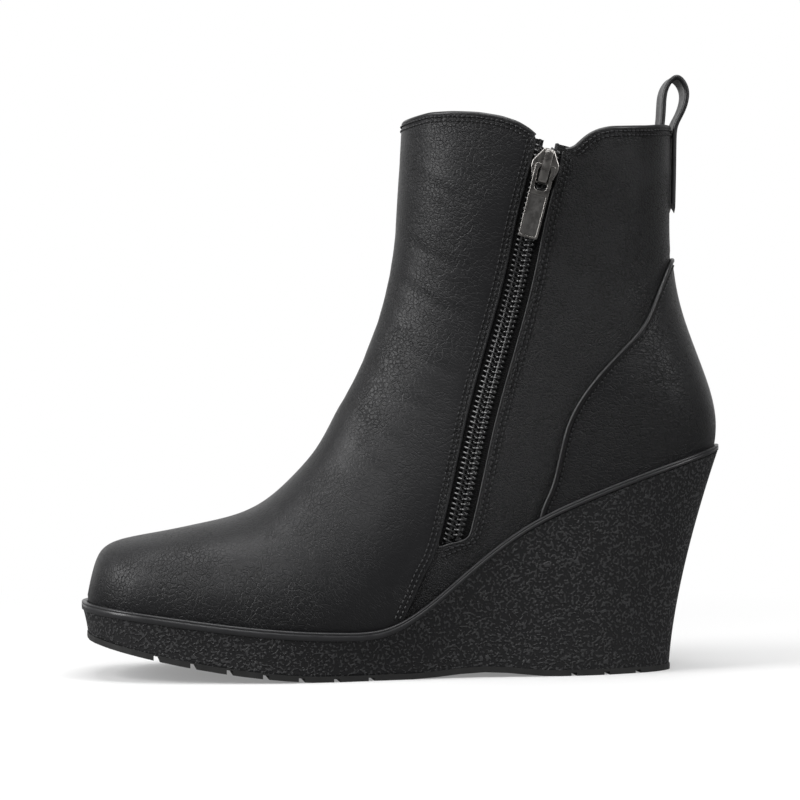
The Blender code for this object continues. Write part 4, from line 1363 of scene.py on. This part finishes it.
def plate(name, slider, outlines, low, high, bevel, material):
    """A flat plate with holes on the slider's frame, between two depths, with soft edges."""
    curve = bpy.data.curves.new(name, "CURVE")
    curve.dimensions = "2D"
    curve.fill_mode = "BOTH"
    curve.extrude = (high - low) / 2 * MM - bevel * MM
    curve.bevel_depth = bevel * MM
    curve.bevel_resolution = 2
    curve.offset = -bevel * MM
    for outline in outlines:
        line = curve.splines.new("POLY")
        line.points.add(len(outline) - 1)
        line.use_cyclic_u = True
        for point, (w, along) in zip(line.points, outline):
            point.co = (w * MM, along * MM, 0, 1)
    holder = bpy.data.objects.new(name, curve)
    looks.objects.link(holder)
    bpy.context.view_layer.update()
    mesh = bpy.data.meshes.new_from_object(holder.evaluated_get(bpy.context.evaluated_depsgraph_get()))
    bpy.data.objects.remove(holder)
    bpy.data.curves.remove(curve)
    middle = (low + high) / 2 * MM
    for vert in mesh.vertices:
        w, along, depth = vert.co
        vert.co = placed(slider, w, middle - depth, along)
    mesh.update()
    mesh.polygons.foreach_set("use_smooth", [True] * len(mesh.polygons))
    mesh.set_sharp_from_angle(angle=math.radians(35))
    mesh.materials.clear()
    return new_object(name, mesh, material)


def rounded(corners, radius, steps=4):
    """A polygon with its corners rounded."""
    made = []
    count = len(corners)
    for i, corner in enumerate(corners):
        here = np.array(corner, float)
        before = np.array(corners[i - 1], float) - here
        after = np.array(corners[(i + 1) % count], float) - here
        reach = min(radius, np.linalg.norm(before) / 2.1, np.linalg.norm(after) / 2.1)
        a = here + before / np.linalg.norm(before) * reach
        b = here + after / np.linalg.norm(after) * reach
        for t in np.linspace(0, 1, steps + 1):
            made.append(tuple((1 - t) ** 2 * a + 2 * t * (1 - t) * here + t**2 * b))
    return made


def bar(name, slider, profile, half, bevel, material):
    """A bar across the slider's frame from a side profile of (along, depth)."""
    made = Builder()
    outline = rounded(profile, 0.6)
    rings = []
    for w, inset in ((-half, bevel), (-half + bevel, 0), (half - bevel, 0), (half, bevel)):
        centre = np.mean(profile, axis=0)
        ring = []
        for a, d in outline:
            pull_in = np.array([a, d]) - centre
            pull_in = pull_in / max(np.linalg.norm(pull_in), 1e-6) * inset
            ring.append(placed(slider, w * MM, (d - pull_in[1]) * MM, (a - pull_in[0]) * MM))
        rings.append(np.array(ring))
    made.sweep(rings)
    return made.object(name, material, crisp=45)


def join(name, parts):
    """One object from several meshes, materials kept."""
    mesh_points = []
    faces = []
    slots = []
    order = []
    for part in parts:
        start = len(mesh_points)
        mesh_points += [tuple(v.co) for v in part.data.vertices]
        for polygon in part.data.polygons:
            faces.append([start + i for i in polygon.vertices])
            material = part.data.materials[polygon.material_index]
            if material not in slots:
                slots.append(material)
            order.append(slots.index(material))
    for part in parts:
        mesh = part.data
        bpy.data.objects.remove(part)
        bpy.data.meshes.remove(mesh)
    made = mesh_object(name, mesh_points, faces, *slots, crisp=35)
    made.data.polygons.foreach_set("material_index", order)
    return made


def build_zip(side):
    slider_at = travel_at_height(shaft_height(SLIDER_TOP) - SLIDER_SEAT)
    slider = zip_frame(side, slider_at)
    top = travel_at_height(shaft_height(TAPE_TOP))
    end = slider_at + SLIDER_LENGTH / 2
    frames = between_frames(side, top - 2 * MM, ZIP_LENGTH, 40)

    coils = Builder()
    first = slider_at - SLIDER_LENGTH / 2 + 4 * MM
    for sign, phase in ((-1, 0.0), (1, math.pi)):
        last = ZIP_LENGTH - SLOT_END - MM - SLOT_SLANT * sign * COIL_HALF
        line = coil_line(frames, first, last, sign, lambda at: COIL_HALF - 0.12 * MM, phase)
        coils.sweep(tube_rings(line, COIL_WIRE, 0, count=7))

        def parted(at):
            split = TAPE_SPLIT * smooth((end - at) / SLIDER_LENGTH)
            return COIL_HALF * 0.9 + float(split) * 0.75

        line = coil_line(frames, top + 2.2 * MM, slider_at - 2 * MM, sign, parted, phase)
        coils.sweep(tube_rings(line, COIL_WIRE, 0, count=7))
        at = np.linspace(top, last, 160)
        cord = [placed(frames(t), COIL_SHIFT + sign * parted(t), 1.2 * MM) for t in at]
        normal = [-frames(t).inward for t in at]
        coils.sweep(tube_rings((np.array(cord), np.array(normal), False), 0.5 * MM, 0, count=8))
    made = coils.object("zip_coils", coil_plastic)
    ridden(made, "boot", "zip_coil", "zip_chain")

    outline = (
        (-1.9, -6.75),
        (1.9, -6.75),
        (5.25, -1.2),
        (5.25, 1.0),
        (3.4, 6.75),
        (-3.4, 6.75),
        (-5.25, 1.0),
        (-5.25, -1.2),
    )
    parts = [plate("slider_top", slider, [rounded(outline, 0.8)], -1.8, -0.1, 0.45, metal)]
    parts.append(plate("slider_low", slider, [rounded(outline, 0.8)], 3.8, 4.8, 0.25, metal))
    for sign in (-1, 1):
        rail = [(w * sign, a) for w, a in ((3.65, -2.4), (5.0, -0.6), (5.0, 1.2), (3.65, 4.8))]
        parts.append(plate("rail", slider, [rail], -0.6, 1.9, 0.1, metal))
    neck = [(-1.3, -6.2), (1.3, -6.2), (1.3, -3.6), (-1.3, -3.6)]
    parts.append(plate("neck", slider, [neck], -0.6, 4.2, 0.1, metal))
    profile = [(-6.5, -1.2), (-6.5, -3.9), (-5.6, -4.9), (5.9, -4.9), (6.6, -4.1), (6.6, -1.2)]
    profile += [(5.6, -1.2), (5.6, -3.7), (-5.2, -3.7), (-5.2, -1.2)]
    # A thin near-black plate on the slider's top plate: painted shade for the hollow inside the slider.
    recess = rounded([(-2.5, -0.4), (2.5, -0.4), (2.4, 6.3), (-2.4, 6.3)], 0.8)
    parts.append(plate("recess", slider, [recess], -1.95, -1.6, 0.05, shadow_metal))
    parts.append(bar("bridge", slider, profile, 1.6, 0.35, metal))
    ridden(join("zip_slider_body", parts), "boot", "zip_metal", "zip_slider")

    window = rounded([(-2.4, 0.6), (2.4, 0.6), (2.3, 9.4), (-2.3, 9.4)], 1.7, 6)
    sheet = rounded([(-3.85, -0.5), (3.85, -0.5), (3.65, 27.5), (-3.65, 27.5)], 0.9)
    field = rounded([(-2.95, 11.2), (2.95, 11.2), (2.85, 26.7), (-2.85, 26.7)], 0.5)
    parts = [plate("pull_rim", slider, [sheet, window, field], -3.3, -2.3, 0.2, metal)]
    floor = rounded([(-3.3, 10.6), (3.3, 10.6), (3.2, 27.1), (-3.2, 27.1)], 0.5)
    parts.append(plate("pull_field", slider, [floor], -2.98, -2.4, 0.05, metal_field))
    ridden(join("zip_pull_plate", parts), "pull_tab", "zip_metal", "zip_pull")


def build_loop(side):
    places = np.array([[row.back * LOOP_DEPTH, row.up * LOOP_HEIGHT] for row in STRAP_LINE])
    travel = np.concatenate([[0], np.cumsum(np.hypot(*np.diff(places, axis=0).T))])
    curve = spline(travel, places)
    collar_back = COLLAR_FRONT_HEIGHT - 0.09 * COLLAR_DIP
    profile = []
    half = STRAP_WIDTH / 2
    thick = STRAP_THICKNESS / 2
    for turn in (1, -1):
        for share in np.linspace(-0.88, 0.88, 9)[::turn]:
            profile.append((share * half, thick * turn))
        profile.append((turn * half * 0.97, thick * 0.7 * turn))
        profile.append((turn * half, 0.0))
        profile.append((turn * half * 0.97, -thick * 0.7 * turn))
    rings = []
    steps = 150
    for i in range(steps + 1):
        at = travel[-1] * i / steps
        back, up = curve(at)
        ahead = curve(at + 0.5 * MM) - curve(at - 0.5 * MM)
        along = Vector((ahead[0], ahead[1])).normalized()
        height = min(collar_back + up, collar_back - 2 * MM)
        blend = 1 - 0.7 * float(smooth(up / LOOP_HEIGHT))
        ring = []
        for y, off in profile:
            sag = (side.back(0, height) - side.back(y, height)) * blend
            cut = max(0.0, 1 - i / 7) * 3.5 * MM * abs(y) / half
            x = side.back(0, height) + back + along.y * off - sag
            ring.append((x, y, collar_back + up - along.x * off + cut))
        rings.append(ring)
    made = Builder()
    made.sweep(rings)
    ridden(made.object("loop_strap", strap_leather, crisp=60), "boot", "strap_leather", "pull_loop")


def finish_nodes():
    """Finishes the solids that are shown as they are."""
    choices = {
        "outsole": tread_rubber,
        "insole": insole_cloth,
        "zip_tape_front": tape_cloth,
        "zip_tape_rear": tape_cloth,
    }
    for name, material in choices.items():
        data = frame["nodes"][name].data
        data.materials.clear()
        data.materials.append(material)


def dress_stitches():
    made = threads.object("stitches", thread)
    ridden(made, "boot", "leather")
    # Near-black discs at the pinholes: painted shade in the stitch holes.
    made = pinhole_shades.object("pinhole_shades", pinhole_shade)
    ridden(made, "boot", "leather")


# Camera, lights and floor
CAMERA_AT = (-0.0793, -0.8966, 0.104)
CAMERA_TURN = -5
CAMERA_LENS = 105.2
LIGHT_TARGET = Vector((0, 0, 0.1))
Light = namedtuple("Light", "name place width height power")
LIGHTS = (
    Light("key", (-1.15, -0.45, 0.75), 0.5, 1.1, 16),
    Light("side", (1.15, -0.75, 0.75), 0.45, 1.0, 8),
    Light("top", (0.0, -0.15, 1.4), 1.0, 0.7, 12),
    Light("front", (-0.25, -1.3, 1.0), 0.7, 0.4, 5),
)
FLOOR_RADIUS = 4
FLOOR_CORNERS = 64
# Distances from the middle between which the floor turns from lit to plain white
FLOOR_NEAR = 0.12
FLOOR_FAR = 0.42


def area_light(name, place, width, height, power):
    data = bpy.data.lights.new(name, "AREA")
    data.shape = "RECTANGLE"
    data.size = width
    data.size_y = height
    data.energy = power
    lamp = bpy.data.objects.new(name, data)
    lamp.location = place
    lamp.rotation_euler = (LIGHT_TARGET - Vector(place)).to_track_quat("-Z", "Y").to_euler()
    bpy.context.scene.collection.objects.link(lamp)
    return lamp


def build_world():
    world = bpy.data.worlds.new("studio")
    world.use_nodes = True
    bpy.context.scene.world = world
    tree = world.node_tree
    tree.nodes.clear()
    out = tree.nodes.new("ShaderNodeOutputWorld")
    place = node(tree, "TexCoord").outputs["Generated"]
    parts = node(tree, "SeparateXYZ", Vector=place)
    behind = ranged(tree, parts.outputs[1], 0.1, 0.9, 0.03, 0.9)
    seen = node(tree, "LightPath").outputs["Is Camera Ray"]
    level = calc(tree, "MAXIMUM", behind, seen)
    back = node(tree, "Background", Color=(1, 1, 1, 1), Strength=level)
    tree.links.new(back.outputs[0], out.inputs["Surface"])


def build_floor():
    made, tree, shader = shader_of("floor", 0.9, specular=0.0)
    place = node(tree, "TexCoord").outputs["Object"]
    seen = node(tree, "LightPath").outputs["Is Camera Ray"]
    tree.links.new(calc(tree, "MULTIPLY_ADD", seen, 0.62, 0.24), shader.inputs["Base Color"])
    length = node(tree, "VectorMath", {"operation": "LENGTH"}, Vector=place)
    share = ranged(tree, length.outputs["Value"], FLOOR_NEAR, FLOOR_FAR, 0.25, 1.0)
    glow = node(tree, "Emission", Color=(1, 1, 1, 1))
    tree.links.new(calc(tree, "MULTIPLY_ADD", seen, 0.85, 0.15), glow.inputs["Strength"])
    mix = node(tree, "MixShader", Fac=share)
    tree.links.new(shader.outputs[0], mix.inputs[1])
    tree.links.new(glow.outputs[0], mix.inputs[2])
    out = next(n for n in tree.nodes if n.type == "OUTPUT_MATERIAL")
    tree.links.new(mix.outputs[0], out.inputs["Surface"])
    turn = np.linspace(0, 2 * math.pi, FLOOR_CORNERS, endpoint=False)
    points = np.stack([np.cos(turn), np.sin(turn), 0 * turn], axis=1) * FLOOR_RADIUS
    floor = mesh_object("floor", points, [list(range(FLOOR_CORNERS))], made)


def build_studio():
    camera = bpy.data.cameras.new("camera")
    camera.lens = CAMERA_LENS
    camera.sensor_width = 36
    camera.clip_end = 20
    holder = bpy.data.objects.new("camera", camera)
    holder.location = CAMERA_AT
    holder.rotation_euler = (math.radians(90), 0, math.radians(CAMERA_TURN))
    bpy.context.scene.collection.objects.link(holder)
    bpy.context.scene.camera = holder
    view = bpy.context.scene.view_settings
    view.view_transform = "Standard"
    view.look = "None"
    build_world()
    build_floor()
    for light in LIGHTS:
        area_light(*light)


def main():
    side = Side(base)
    front, rear = build_upper()
    stitch_upper(front, rear)
    build_counter()
    build_sole()
    build_zip(side)
    build_loop(side)
    dress_stitches()
    finish_nodes()
    build_studio()


main()
